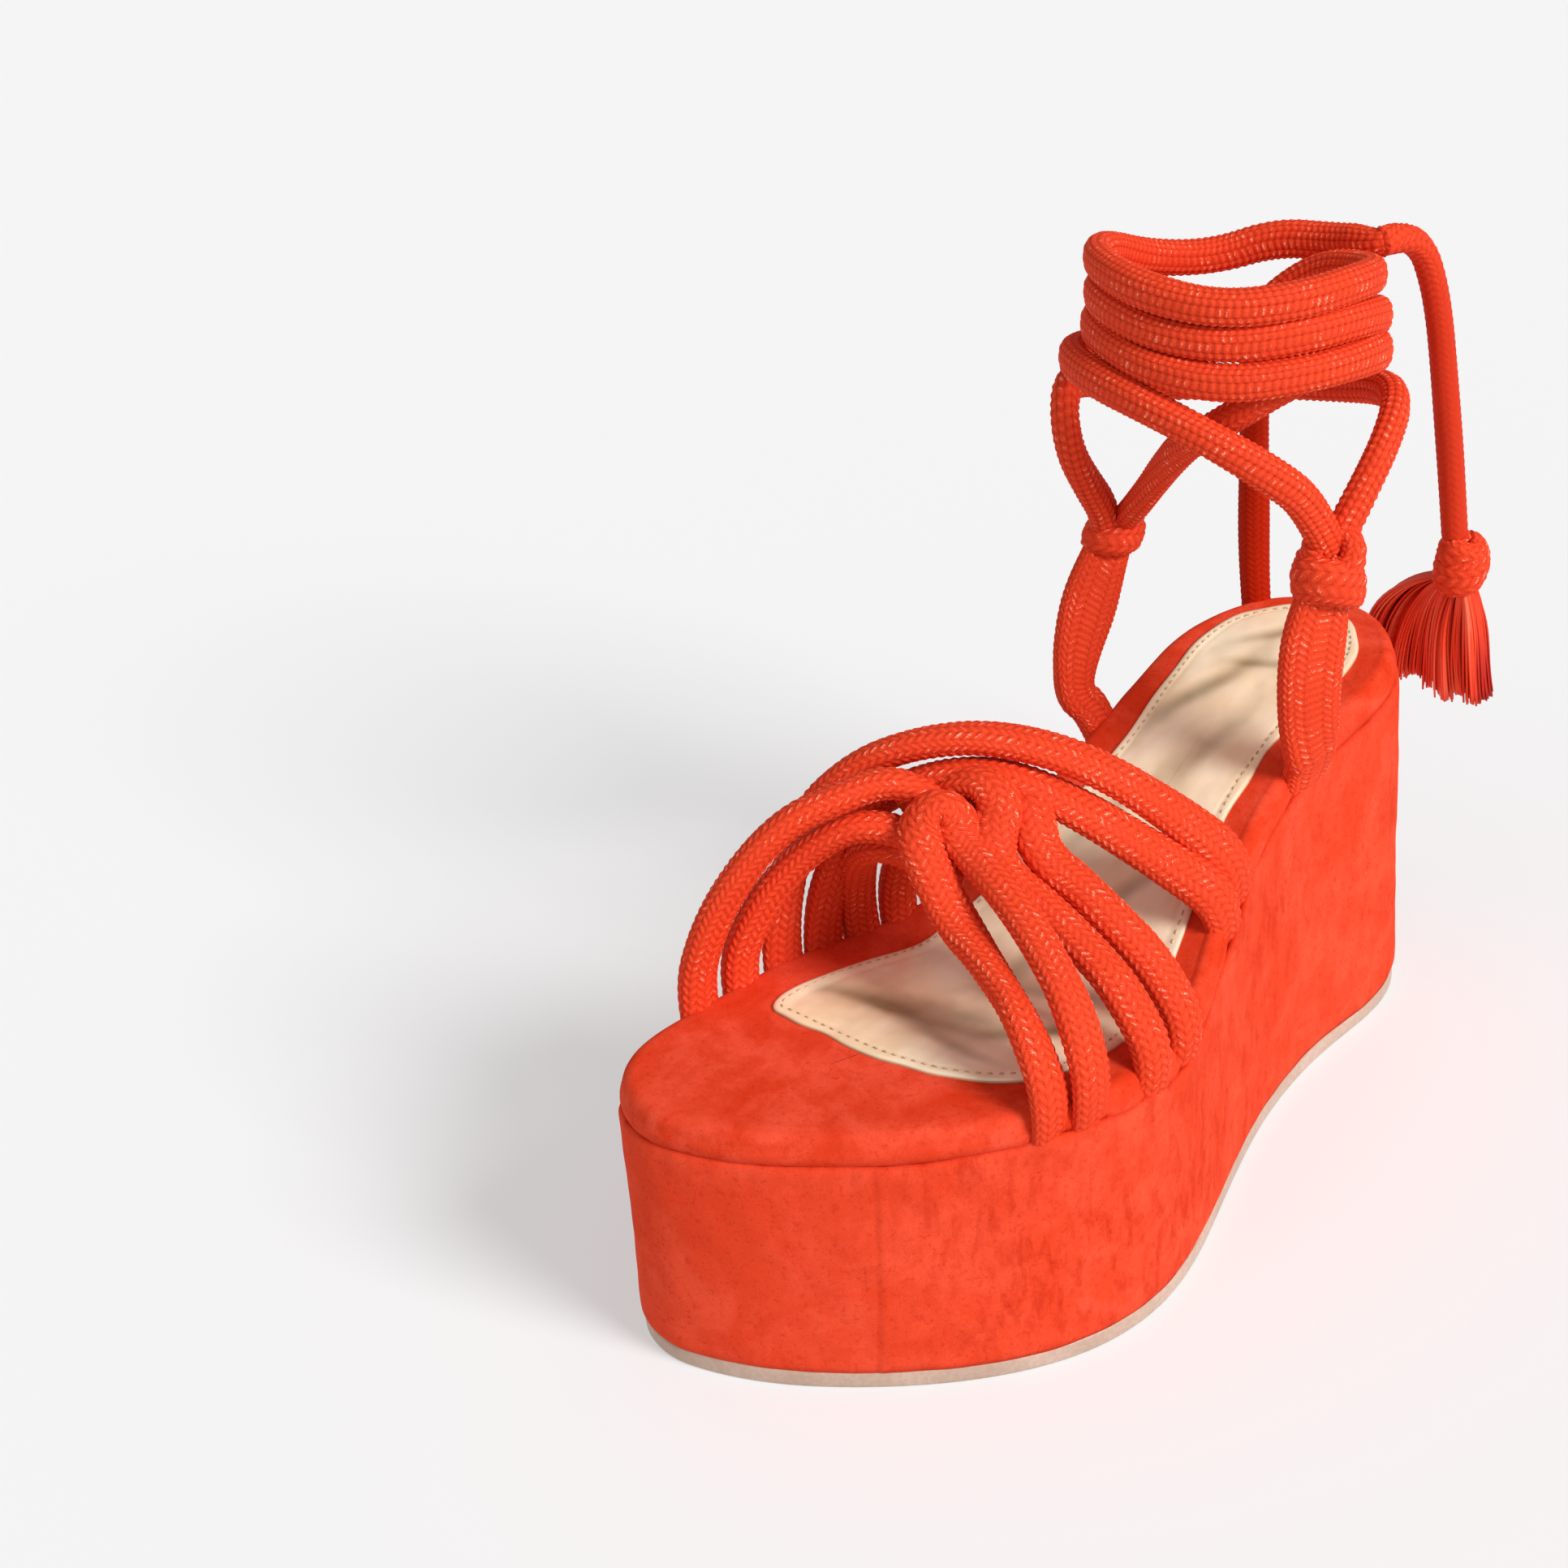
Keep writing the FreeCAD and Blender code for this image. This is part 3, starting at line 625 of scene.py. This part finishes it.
def twisting(points):
    """Outward for the side straps: level with the foot's side at the root, turned forwards higher up."""
    climb = np.clip((points[:, 2] - 86 * MM) / (26 * MM), 0.0, 1.0)[:, None]
    _, root = edge_at(*(points[0, :2] / MM))
    side = math.copysign(1.0, points[0, 0])
    turn = math.radians(34.0)
    above = np.array([side * math.cos(turn), -side * math.sin(turn), 0.0])
    return np.array(root) * (1.0 - climb) + above * climb


def outer_taper(t):
    """Wide below, gathered where the strap goes into its knot."""
    gather = max(0.0, (t - 0.72) / 0.28)
    root = max(0.0, 1.0 - t / 0.15)
    return 1.0 - 0.4 * gather ** 2, 1.0 + 0.5 * gather ** 2 - 0.35 * root, 1.0


def inner_taper(t):
    """Narrow at the root, widest under the knot."""
    wide = math.exp(-((t - 0.72) / 0.25) ** 2)
    return 0.78 + 0.36 * wide, 1.0 - 0.1 * wide, 1.0


def wrap_band(name, centre, axis, rx, ry, turns, rise, tilt, look, body, width, thick, start=0.0,
              stands_for=(), cell=1.0):
    """A turn of cord round a knot: an ellipse about axis, tilted, that climbs by rise over its turns."""
    axis = Vector(axis).normalized()
    across = Vector((1.0, 0.0, 0.0))
    across = (across - axis * across.dot(axis)).normalized()
    along = axis.cross(across)
    lean = math.tan(math.radians(tilt))
    count = int(14 * turns) + 1
    route = []
    for i in range(count):
        t = i / (count - 1)
        a = start + t * turns * 2 * math.pi
        shrink = 1.0 - 0.45 * max(0.0, abs(t - 0.5) * 2 - 0.72) / 0.28
        x, y = rx * math.cos(a) * shrink, ry * math.sin(a) * shrink
        z = rise * (t - 0.5) + lean * y
        route.append(tuple(Vector(centre) + across * x + along * y + axis * z))
    middle = np.array(centre)

    def outward(points):
        out = points - middle
        spine = np.array(axis)
        return out - (out @ spine)[:, None] * spine

    return braid(name, route, look["braid"], outward, width, thick, body, stands_for, square=2.4, cell=cell)


def make_straps(look):
    braid("outer_strap", tucked(LATERAL_STRAP), look["braid"], twisting, *OUTER_STRAP, "sandal",
          ("lateral_strap",), square=3.0, taper=outer_taper, cell=0.85)
    braid("inner_strap", tucked(MEDIAL_STRAP), look["braid"], twisting, *INNER_STRAP, "sandal",
          ("medial_strap",), square=3.0, taper=inner_taper, cell=0.8)
    outer, inner = OUTER_KNOT * MM, INNER_KNOT * MM
    wrap_band("outer_knot_band", outer - Vector((0.0, 0.3, 3.5)) * MM, (-0.12, 0.25, 1.0), 6.0 * MM, 6.8 * MM,
              1.35, 3.6 * MM, -18.0, look, "sandal", 12.0 * MM, 6.6 * MM, start=2.4,
              stands_for=("lateral_knot",))
    wrap_band("outer_knot_tuck", outer + Vector((0.6, 0.6, 3.0)) * MM, (0.3, -0.5, 0.8), 5.0 * MM, 5.8 * MM,
              0.85, 1.5 * MM, 8.0, look, "sandal", 9.6 * MM, 6.4 * MM, start=-1.1)
    wrap_band("inner_knot_band", inner, (0.0, 0.5, 1.0), 5.0 * MM, 6.2 * MM, 1.5, 3.0 * MM, 12.0, look,
              "sandal", 8.8 * MM, 5.2 * MM, start=0.6, stands_for=("medial_knot",))
    wrap_band("inner_knot_tuck", inner + Vector((0.4, 0.2, -1.0)) * MM, (0.4, 0.8, 0.7), 4.4 * MM, 5.4 * MM,
              0.8, 1.0 * MM, -10.0, look, "sandal", 7.6 * MM, 5.0 * MM, start=1.6)


# ---- tassel -------------------------------------------------------------------------------------
TASSEL_KNOT = Vector((28.0, 136.0, 118.8)) * MM
NECK = Vector((27.6, 135.8, 112.6)) * MM
LOCKS = 8
STRANDS = 1150


def make_tassel(look):
    """Knot of the lace's end, and its yarn combed out below it towards the inner side."""
    band = wrap_band("tassel_knot_band", TASSEL_KNOT - Vector((0.0, 0.0, 1.6)) * MM, (0.15, 0.0, 1.0),
                     4.0 * MM, 4.2 * MM, 1.4, 3.0 * MM, 18.0, look, "tassel", 11.0 * MM, 6.6 * MM, start=0.4,
                     stands_for=("tassel_knot",), cell=0.9)
    tuck = wrap_band("tassel_knot_tuck", TASSEL_KNOT + Vector((0.2, 0.0, 3.4)) * MM, (0.5, 0.2, 0.8),
                     3.0 * MM, 3.4 * MM, 1.0, 1.0 * MM, 8.0, look, "tassel", 8.6 * MM, 6.2 * MM, start=2.0,
                     cell=0.9)
    vertices, faces, tones = [], [], []
    sides, rows = 4, 16
    ring = np.arange(sides) / sides * 2 * math.pi
    t = np.linspace(0.0, 1.0, rows)[:, None]
    neck = np.array(NECK)
    for _ in range(STRANDS):
        spread = rng.random()
        lock = math.floor(spread * LOCKS)
        within = spread * LOCKS - lock - 0.5
        place = (lock + 0.5 + 0.86 * within) / LOCKS
        depth = float(np.clip(rng.normal(0.0, 1.0), -2.0, 2.0))
        bulge = 1.2 * math.sin(lock * 2.4)
        drop = -33.5 + 4.0 * place + 1.6 * math.sin(lock * 1.9) + rng.normal(0.0, 0.5)
        root = neck + np.array((2.2 - 5.0 * place, 1.1 * depth, 1.5)) * MM
        bend = neck + np.array((5.0 - 20.0 * place, 1.8 * depth + bulge, -5.0 + 5.5 * place)) * MM
        hang = neck + np.array((8.0 - 35.0 * place, 2.2 * depth + bulge, -18.0 + 8.0 * place)) * MM
        swing = 9.5 - 36.0 * place + rng.normal(0.0, 0.4)
        tip = neck + np.array((swing, 2.4 * depth + bulge, drop)) * MM
        line = (1 - t) ** 3 * root + 3 * t * (1 - t) ** 2 * bend + 3 * t ** 2 * (1 - t) * hang + t ** 3 * tip
        side = np.array((1.0, 0.0, 0.0))
        line = line + side * (0.5 * MM * np.sin(t * 5.0 + lock) + rng.normal(0.0, 0.1) * MM * np.sin(t * 9.0))
        radius = (0.44 * (1.0 - 0.25 * t ** 3)) * MM
        across = np.array((0.0, 1.0, 0.0))
        tube = (line[:, None, :] + radius[:, None, :] * (np.cos(ring)[None, :, None] * side
                + np.sin(ring)[None, :, None] * across))
        faces.extend((grid_faces(rows, sides, True) + len(vertices)).tolist())
        first = len(vertices)
        vertices.extend(tube.reshape(-1, 3).tolist())
        faces.append(list(range(first, first + sides)))
        faces.append(list(range(first + sides * (rows - 1), first + sides * rows)))
        # strand colour: a random tone, painted shade towards each lock's edges and the back, and painted
        # highlight bands along the strand
        own = 0.62 + 0.14 * (rng.random() - 0.5) - 1.1 * abs(within) ** 1.5 - 0.08 * depth
        shade = np.clip(own + 0.24 * np.sin(t[:, 0] * 5.0 + 1.7 * lock), 0.0, 1.0)
        tones.extend(np.repeat(shade, sides).tolist())
    skirt = new_piece("tassel_yarn", vertices, faces, look["yarn"], "tassel",
                      ("tassel_skirt",), {"tone": tones})
    return [band, tuck, skirt]


def tail_taper(t):
    """As thick and knobbly as the wraps at first, then finer and smooth, and coloured darker there as painted
    shade.
    """
    near = max(0.0, 1.0 - t / 0.3)
    return 1.0 + 0.14 * near, 1.0 + 0.02 * near, 0.3 + 0.7 * near


def make_tail(look):
    route = metres(TAIL)
    path = spline_points(route, STEP)
    length = float(np.linalg.norm(np.diff(path, axis=0), axis=1).sum())
    tail = braid("tail", route, look["braid"], away_from_ankle, TAIL_D, TAIL_D, None,
                 ("tail_arch", "tail_drop"), taper=tail_taper)
    # painted shade: the hanging stretch is coloured darker, fading in below the arch
    heights = np.array([vertex.co.z for vertex in tail.data.vertices])
    layer = tail.data.attributes.new("tail_shade", "FLOAT", "POINT")
    layer.data.foreach_set("value", np.clip((214 * MM - heights) / (30 * MM), 0.0, 1.0).astype(np.float32))
    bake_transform(tail)
    return tail, path, length


# ---- sole ---------------------------------------------------------------------------------------
OUTSOLE_T = 4.6 * MM
FOOTBED_T = 8.6 * MM
AROUND = 900                # points round the sole's outline
# where the cords and straps go down the footbed's edge: x, y and half width
ROOTS = [
    (51.0, -73.5, 4.6), (55.5, -63.5, 4.6), (56.5, -42.0, 4.6), (54.5, -26.0, 4.6), (39.0, 20.0, 4.6),
    (41.0, 9.5, 4.6), (-49.5, -87.5, 4.6), (-48.5, -74.0, 4.6), (-45.8, -32.5, 4.6), (-43.2, -21.5, 4.6),
    (-50.2, -60.0, 4.6), (-48.0, -46.0, 4.6), (34.8, 58.5, 9.0), (-33.2, 50.0, 7.5), (-26.8, 117.6, 4.4),
]


def smooth_noise(points, size, seed):
    """Soft noise from -1 to 1 over an array of points, with waves of about size."""
    dice = np.random.default_rng(seed)
    total = np.zeros(points.shape[:-1])
    for _ in range(7):
        way = unit(dice.normal(size=3)) * 2 * math.pi / (size * dice.uniform(0.7, 1.5))
        total += np.sin(points @ way + dice.uniform(0, 2 * math.pi))
    return total / 3.2


def plan_ring(node, count):
    """Outline of a CAD node in plan, from its upright walls, as evenly spaced points anticlockwise."""
    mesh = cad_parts[node].data
    walls = {v for face in mesh.polygons if abs(face.normal.z) < 0.1 for v in face.vertices}
    points = np.array([mesh.vertices[v].co[:] for v in sorted(walls)])
    angle = np.round(np.arctan2(points[:, 1], points[:, 0]), 4)
    reach = np.hypot(points[:, 0], points[:, 1])
    outer = {}
    for key, far, point in zip(angle, reach, points):
        if key not in outer or far > outer[key][0]:
            outer[key] = (far, point[0], point[1])
    loop = np.array([outer[key][1:] for key in sorted(outer)])
    loop = np.vstack([loop, loop[:1]])
    s = np.concatenate([[0.0], np.cumsum(np.linalg.norm(np.diff(loop, axis=0), axis=1))])
    even = np.linspace(0.0, s[-1], count, endpoint=False)
    ring = np.stack([np.interp(even, s, loop[:, k]) for k in range(2)], -1)
    for _ in range(3):
        ring = 0.5 * ring + 0.25 * (np.roll(ring, 1, 0) + np.roll(ring, -1, 0))
    return ring


def ring_normal(ring):
    t = unit(np.roll(ring, -1, 0) - np.roll(ring, 1, 0))
    return np.stack([t[:, 1], -t[:, 0]], -1)


def height_table():
    """Height of the footbed's top along the sole, read off the CAD footbed."""
    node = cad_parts["footbed_cover"]
    tree = BVHTree.FromPolygons([v.co for v in node.data.vertices], [p.vertices for p in node.data.polygons])
    ys, zs = [], []
    for y in np.arange(-0.124, 0.1245, 0.002):
        for x in (0.0, -30.0 * MM, -20.0 * MM):
            hit = tree.ray_cast(Vector((x, y, 0.3)), Vector((0, 0, -1)))[0]
            if hit is not None and hit.z > 0.05:
                ys.append(y)
                zs.append(hit.z)
                break
    return np.array(ys), np.array(zs)


TOP_Y, TOP_Z = height_table()
SOLE_RING = plan_ring("outsole", AROUND)
SOLE_OUT = ring_normal(SOLE_RING)
SOLE_RING = SOLE_RING + SOLE_OUT * 0.5 * MM


def top_height(y):
    return np.interp(y, TOP_Y, TOP_Z)


def near_roots(ring, grow=1.0):
    """1 at a cord's or strap's root and 0 away from all of them, along an outline."""
    total = np.zeros(len(ring))
    for x, y, half in ROOTS:
        away = np.hypot(ring[:, 0] - x * MM, ring[:, 1] - y * MM) / (half * grow * MM)
        total = np.maximum(total, np.exp(-away ** 4 * 0.7))
    return total


def spine_of(ring, reach):
    """For each outline point the point of the sole's middle line that its inward ribs run to."""
    y = np.clip(ring[:, 1], ring[:, 1].min() + reach, ring[:, 1].max() - reach)
    n = len(ring)
    middle = []
    for target in y:
        near = np.argsort(np.abs(ring[:, 1] - target))[:8]
        middle.append((ring[near, 0].min() + ring[near, 0].max()) / 2)
    middle = np.array(middle)
    kernel = np.ones(41) / 41
    padded = np.concatenate([middle[-20:], middle, middle[:20]])
    middle = np.convolve(padded, kernel, "valid")[:n]
    return np.stack([middle, y], -1)


def dome(rings, name, look, stands_for, attributes):
    """Joins rings of equal counts into a skin, each ring closed round."""
    rows, around = len(rings), len(rings[0])
    return new_piece(name, np.vstack(rings), grid_faces(rows, around, True), look, "sandal", stands_for,
                     {key: np.concatenate(value) for key, value in attributes.items()})


def make_wedge(look):
    """Suede skin of the wedge: a wall with a rolled lip that swells over each cord's end, and its seam."""
    ring, out = SOLE_RING, SOLE_OUT
    soft = near_roots(ring, 1.15)
    lip = top_height(ring[:, 1]) - FOOTBED_T + (0.4 + 2.0 * near_roots(ring, 1.3)) * MM
    lip = lip + 0.35 * MM * smooth_noise(np.c_[ring, np.zeros(AROUND)], 30 * MM, 3)
    rows = 84
    rings, crease_shades = [], []
    seam_at = np.argmin(np.hypot(ring[:, 0] - 23.0 * MM, ring[:, 1] + 105.0 * MM))
    s = np.arange(AROUND) - seam_at
    pitch = np.linalg.norm(ring[1] - ring[0])
    for row in range(rows):
        t = row / (rows - 1)
        t = t ** 0.8
        z = OUTSOLE_T + (lip - OUTSOLE_T) * t
        place = np.c_[ring, z]
        down = lip - z
        swell = 1.2 * MM * soft * np.exp(-(down / (7 * MM)) ** 2)
        waves = 0.28 * MM * smooth_noise(place, 42 * MM, 11) + 0.10 * MM * smooth_noise(place, 11 * MM, 12)
        roll = 1.1 * MM * np.exp(-down / (0.8 * MM)) + 0.7 * MM * np.exp(-(z - OUTSOLE_T) / (0.7 * MM))
        pucker = 0.25 * MM * np.exp(-down / (5 * MM)) * smooth_noise(place * [1, 1, 0.3], 7 * MM, 13)
        wander = 0.5 * MM * np.sin(z / (17 * MM)) + (z - lip) * 0.05
        seam = np.exp(-((s * pitch - wander) / (0.5 * MM)) ** 2)
        ridge = np.exp(-((s * pitch - wander - 1.5 * MM) / (1.0 * MM)) ** 2)
        stitched = 0.15 * MM * ridge - 0.12 * MM * seam
        shift = swell + waves * (1 - np.exp(-down / (3 * MM))) - roll + pucker + stitched
        rings.append(np.c_[ring + out * shift[:, None], z])
        # darker along the seam's groove, and painted shade in the groove under the rolled lip
        crease_shades.append(np.clip(0.22 * seam + 0.35 * np.exp(-down / (0.5 * MM)), 0.0, 1.0))
    # the rings rolled in under the lip and tucked under the wall's foot get full painted shade
    inner_ring = rings[-1].copy()
    inner_ring[:, :2] -= out * 1.2 * MM
    inner_ring[:, 2] -= 0.5 * MM
    rings.append(inner_ring)
    crease_shades.append(np.ones(AROUND))
    deep = inner_ring.copy()
    deep[:, :2] -= out * 1.2 * MM
    deep[:, 2] -= 2.5 * MM
    rings.append(deep)
    crease_shades.append(np.ones(AROUND))
    foot = rings[0].copy()
    foot[:, :2] -= out * 1.5 * MM
    foot[:, 2] += 0.3 * MM
    rings.insert(0, foot)
    crease_shades.insert(0, np.ones(AROUND))
    skin = np.vstack(rings)
    outer_side = np.clip((skin[:, 0] - 8 * MM) / (35 * MM), 0.0, 1.0)
    brushed = outer_side * (0.7 + 0.3 * smooth_noise(skin, 30 * MM, 14))
    dome(rings, "wedge_skin", look["suede"], ("wedge_cover", "wedge_core"),
         {"crease_shade": crease_shades, "brushed": [np.clip(brushed, 0.0, 1.0)]})


def make_footbed(look):
    """Suede footbed: a soft band pressed in by the cords, a rounded edge and a level top."""
    ring, out = SOLE_RING, SOLE_OUT
    soft = near_roots(ring)
    rings, crease_shades = [], []
    top = top_height(ring[:, 1])

    def add(inset, drop, pressed, crease_shade=0.0):
        base = ring - out * (inset + 0.6 * MM * soft * pressed)[:, None]
        place = np.c_[base, top]
        waves = 0.22 * MM * smooth_noise(place, 24 * MM, 21)
        rings.append(np.c_[base + out * waves[:, None], top - drop + waves * 0.5])
        crease_shades.append(np.full(AROUND, crease_shade))

    one = np.ones(AROUND)
    # the rings down the band's lower edge get painted shade, where it meets the wedge's wall
    add(2.6 * MM * one, FOOTBED_T + 3.0 * MM, 1.0, 1.0)
    add(1.9 * MM * one, FOOTBED_T + 0.6 * MM, 1.0, 1.0)
    for k in range(9):
        t = k / 8
        inset = (1.25 - 0.75 * math.sin(math.pi * t)) * MM
        add(inset * one, FOOTBED_T - 0.2 * MM - t * 5.0 * MM, 1.0, 0.5 * (1 - t) ** 4)
    edge = 3.4 * MM
    for k in range(1, 8):
        a = k / 7 * math.pi / 2
        add((1.25 * MM + edge * (1 - math.cos(a))) * one, edge * (1 - math.sin(a)), 1.0 - k / 8)
    start = rings[-1][:, :2]
    spine = spine_of(ring, 30 * MM)
    steps = 46
    for k in range(1, steps + 1):
        t = k / steps
        base = start + (spine - start) * t
        place = np.c_[base, top_height(base[:, 1])]
        dip = 0.18 * MM * smooth_noise(place, 30 * MM, 22) + 0.05 * MM * smooth_noise(place, 8 * MM, 23)
        rings.append(np.c_[base, place[:, 2] + dip * min(1.0, k / 6)])
        crease_shades.append(np.zeros(AROUND))
    dome(rings, "footbed_suede", look["footbed"],
         ("footbed_cover", "footbed_foam", "insole_board"), {"crease_shade": crease_shades})


# soft folds of the lining: centre, direction in degrees, half length, half width, depth, in mm
FOLDS = [
    (-6.0, -62.0, 12.0, 30.0, 3.4, 0.75), (8.0, -54.0, 26.0, 26.0, 4.5, 0.6),
    (16.0, -66.0, 8.0, 16.0, 2.4, 0.55), (28.0, -46.0, 60.0, 16.0, 3.0, 0.7),
    (20.0, -30.0, 35.0, 22.0, 3.6, 0.6), (4.0, -22.0, 100.0, 24.0, 4.0, 0.55),
    (14.0, 6.0, 72.0, 20.0, 3.0, 0.6), (-4.0, 26.0, 80.0, 26.0, 4.0, 0.5),
    (6.0, 52.0, 96.0, 26.0, 3.6, 0.55), (-9.0, 70.0, 82.0, 26.0, 3.4, 0.8),
    (4.0, 88.0, 28.0, 16.0, 2.2, 0.6), (-6.0, 100.0, 60.0, 14.0, 2.6, 0.6),
]


def fold_depth(place):
    """Depth of the lining's folds at points of its surface, in metres."""
    x, y = place[:, 0] / MM, place[:, 1] / MM
    total = np.zeros(len(place))
    for cx, cy, heading, long, wide, deep in FOLDS:
        a = math.radians(heading)
        along = (x - cx) * math.cos(a) + (y - cy) * math.sin(a)
        across = -(x - cx) * math.sin(a) + (y - cy) * math.cos(a) + 2.0 * np.sin(along / 9.0)
        total += deep * np.exp(-(along / long) ** 2) * np.exp(-(across / wide) ** 2)
    return total * MM


def make_lining(look):
    """Gold leather sock: a thin sheet with hand-cut edges, soft folds and a line of stitches."""
    ring = plan_ring("sock_lining", 700)
    out = ring_normal(ring)
    rings, crease_shades = [], []
    spine = spine_of(ring, 20 * MM)
    wobble = 0.45 * MM * smooth_noise(np.c_[ring, 0 * ring[:, 0]], 16 * MM, 31)
    rim = ring + out * wobble[:, None]

    def add(base, lift, shade):
        rings.append(np.c_[base, top_height(base[:, 1]) + lift])
        crease_shades.append(shade)

    zero = np.zeros(len(ring))
    # the cut edge's rings get painted shade, darkest on its underside
    add(rim, -0.5 * MM + zero, zero + 0.9)
    add(rim + out * 0.1 * MM, 0.35 * MM + zero, zero + 0.5)
    add(rim - out * 0.15 * MM, 0.8 * MM + zero, zero + 0.05)
    inset = rim - out * 0.9 * MM
    add(inset, 1.0 * MM + zero, zero)
    steps = 70
    for k in range(1, steps + 1):
        t = k / steps
        base = inset + (spine - inset) * t
        fold = fold_depth(base)
        place = np.c_[base, top_height(base[:, 1])]
        ripple = 0.10 * MM * smooth_noise(place, 13 * MM, 32) + 0.05 * MM * smooth_noise(place, 5 * MM, 33)
        rise = min(1.0, k / 7)
        seat = -0.35 * MM * math.exp(-((t - 0.1) / 0.035) ** 2)
        # painted shade: darker in the folds and over the ripples
        shade = np.clip(fold / (0.8 * MM) * 0.85 + 6.0 * np.abs(ripple) / MM * 0.1 - 0.16, 0.0, 0.9) * rise
        add(base, 1.0 * MM + (ripple - 0.75 * fold) * rise + seat * 0.4, shade)
    dome(rings, "gold_lining", look["gold"], ("sock_lining",), {"crease_shade": crease_shades})
    # stitches: short bent rods that dip into the leather at both ends
    line = resampled_ring(ring - out * 2.0 * MM, 2.7 * MM)
    way = unit(np.roll(line, -1, 0) - np.roll(line, 1, 0))
    vertices, faces = [], []
    sides, rows = 6, 7
    angle = np.arange(sides) / sides * 2 * math.pi
    for here, heading in zip(line, way):
        t = np.linspace(-1.0, 1.0, rows)
        base = here + heading * (t * 0.8 * MM)[:, None]
        fold = 0.75 * fold_depth(base)
        z = top_height(base[:, 1]) + 1.0 * MM - fold + (0.20 - 0.55 * t ** 4) * MM
        radius = 0.2 * MM * (1.0 - 0.35 * t ** 4)
        across = np.array((-heading[1], heading[0], 0.0))
        rod = (np.c_[base, z][:, None, :] + radius[:, None, None] * (np.cos(angle)[None, :, None] * across
               + np.sin(angle)[None, :, None] * np.array((0.0, 0.0, 1.0))))
        first = len(vertices)
        faces.extend((grid_faces(rows, sides, True) + first).tolist())
        faces.append(list(range(first, first + sides)))
        faces.append(list(range(first + sides * (rows - 1), first + sides * rows)))
        vertices.extend(rod.reshape(-1, 3).tolist())
    new_piece("lining_stitches", vertices, faces, look["thread"], "sandal",
              ("sock_stitching",))


def resampled_ring(ring, pitch):
    """Evenly spaced points round a closed outline."""
    loop = np.vstack([ring, ring[:1]])
    s = np.concatenate([[0.0], np.cumsum(np.linalg.norm(np.diff(loop, axis=0), axis=1))])
    even = np.linspace(0.0, s[-1], int(s[-1] / pitch), endpoint=False)
    return np.stack([np.interp(even, s, loop[:, k]) for k in range(2)], -1)


def make_outsole(look):
    """Rubber outsole with rounded edges and a shallow waved tread underneath."""
    ring, out = SOLE_RING, SOLE_OUT
    spine = spine_of(ring, 30 * MM)
    rings = []
    steps = 90
    start = ring - out * 2.2 * MM
    for k in range(steps, 0, -1):
        t = k / steps
        base = start + (spine - start) * t
        wave = np.sin((base[:, 1] + 2.2 * MM * np.sin(base[:, 0] / (3.2 * MM))) * 2 * math.pi / (4.6 * MM))
        groove = np.clip(wave - 0.35, 0.0, 0.5) / 0.5 * 0.7 * MM
        rings.append(np.c_[base, groove * min(1.0, (1 - t) * steps / 4)])
    for inset, z in ((2.2, 0.0), (1.2, 0.0), (0.75, 0.2), (0.55, 0.6), (0.5, 1.5), (0.45, 2.6), (0.5, 3.7),
                     (0.62, 4.3), (1.0, 4.6), (3.0, 4.6)):
        rings.append(np.c_[ring - out * inset * MM, np.full(AROUND, z * MM)])
    new_piece("rubber_sole", np.vstack(rings), grid_faces(len(rings), AROUND, True), look["rubber"],
              "sandal", ("outsole",))


# ---- studio -------------------------------------------------------------------------------------
def add_sun(name, towards, strength, softness):
    """Even light from one direction, with the soft shadows of a wide softbox."""
    data = bpy.data.lights.new(name, "SUN")
    data.energy = strength
    data.angle = math.radians(softness)
    light = bpy.data.objects.new(name, data)
    bpy.context.scene.collection.objects.link(light)
    light.rotation_euler = (-Vector(towards)).to_track_quat("-Z", "Y").to_euler()


def make_studio():
    half = 6.0
    mesh = bpy.data.meshes.new("floor")
    corners = [(-half, -half, 0), (half, -half, 0), (half, half, 0), (-half, half, 0)]
    mesh.from_pydata(corners, [], [(0, 1, 2, 3)])
    floor = bpy.data.objects.new("floor", mesh)
    bpy.context.scene.collection.objects.link(floor)
    shader = Shader("floor_paper")
    shader.set(Base_Color=(0.5, 0.5, 0.5, 1.0), Roughness=0.9, Specular_IOR_Level=0.0,
               Emission_Color=(1.0, 1.0, 1.0, 1.0), Emission_Strength=0.385)
    mesh.materials.append(shader.material)
    world = bpy.data.worlds.new("studio")
    world.use_nodes = True
    background = world.node_tree.nodes["Background"]
    background.inputs["Color"].default_value = (1.0, 1.0, 1.0, 1.0)
    background.inputs["Strength"].default_value = 0.38
    bpy.context.scene.world = world
    bpy.context.scene.view_settings.view_transform = "Standard"
    add_sun("key", (0.78, 0.04, 0.60), 3.1, 24.0)
    add_sun("fill", (0.1, -0.75, 0.65), 0.35, 60.0)


# ---- the whole object ---------------------------------------------------------------------------
add_camera()
look = make_materials()
tail, tail_path, tail_length = make_tail(look)
tassel = make_tassel(look)
make_vamp(look)
make_ankle(look)
make_straps(look)
make_wedge(look)
make_footbed(look)
make_lining(look)
make_outsole(look)
make_studio()
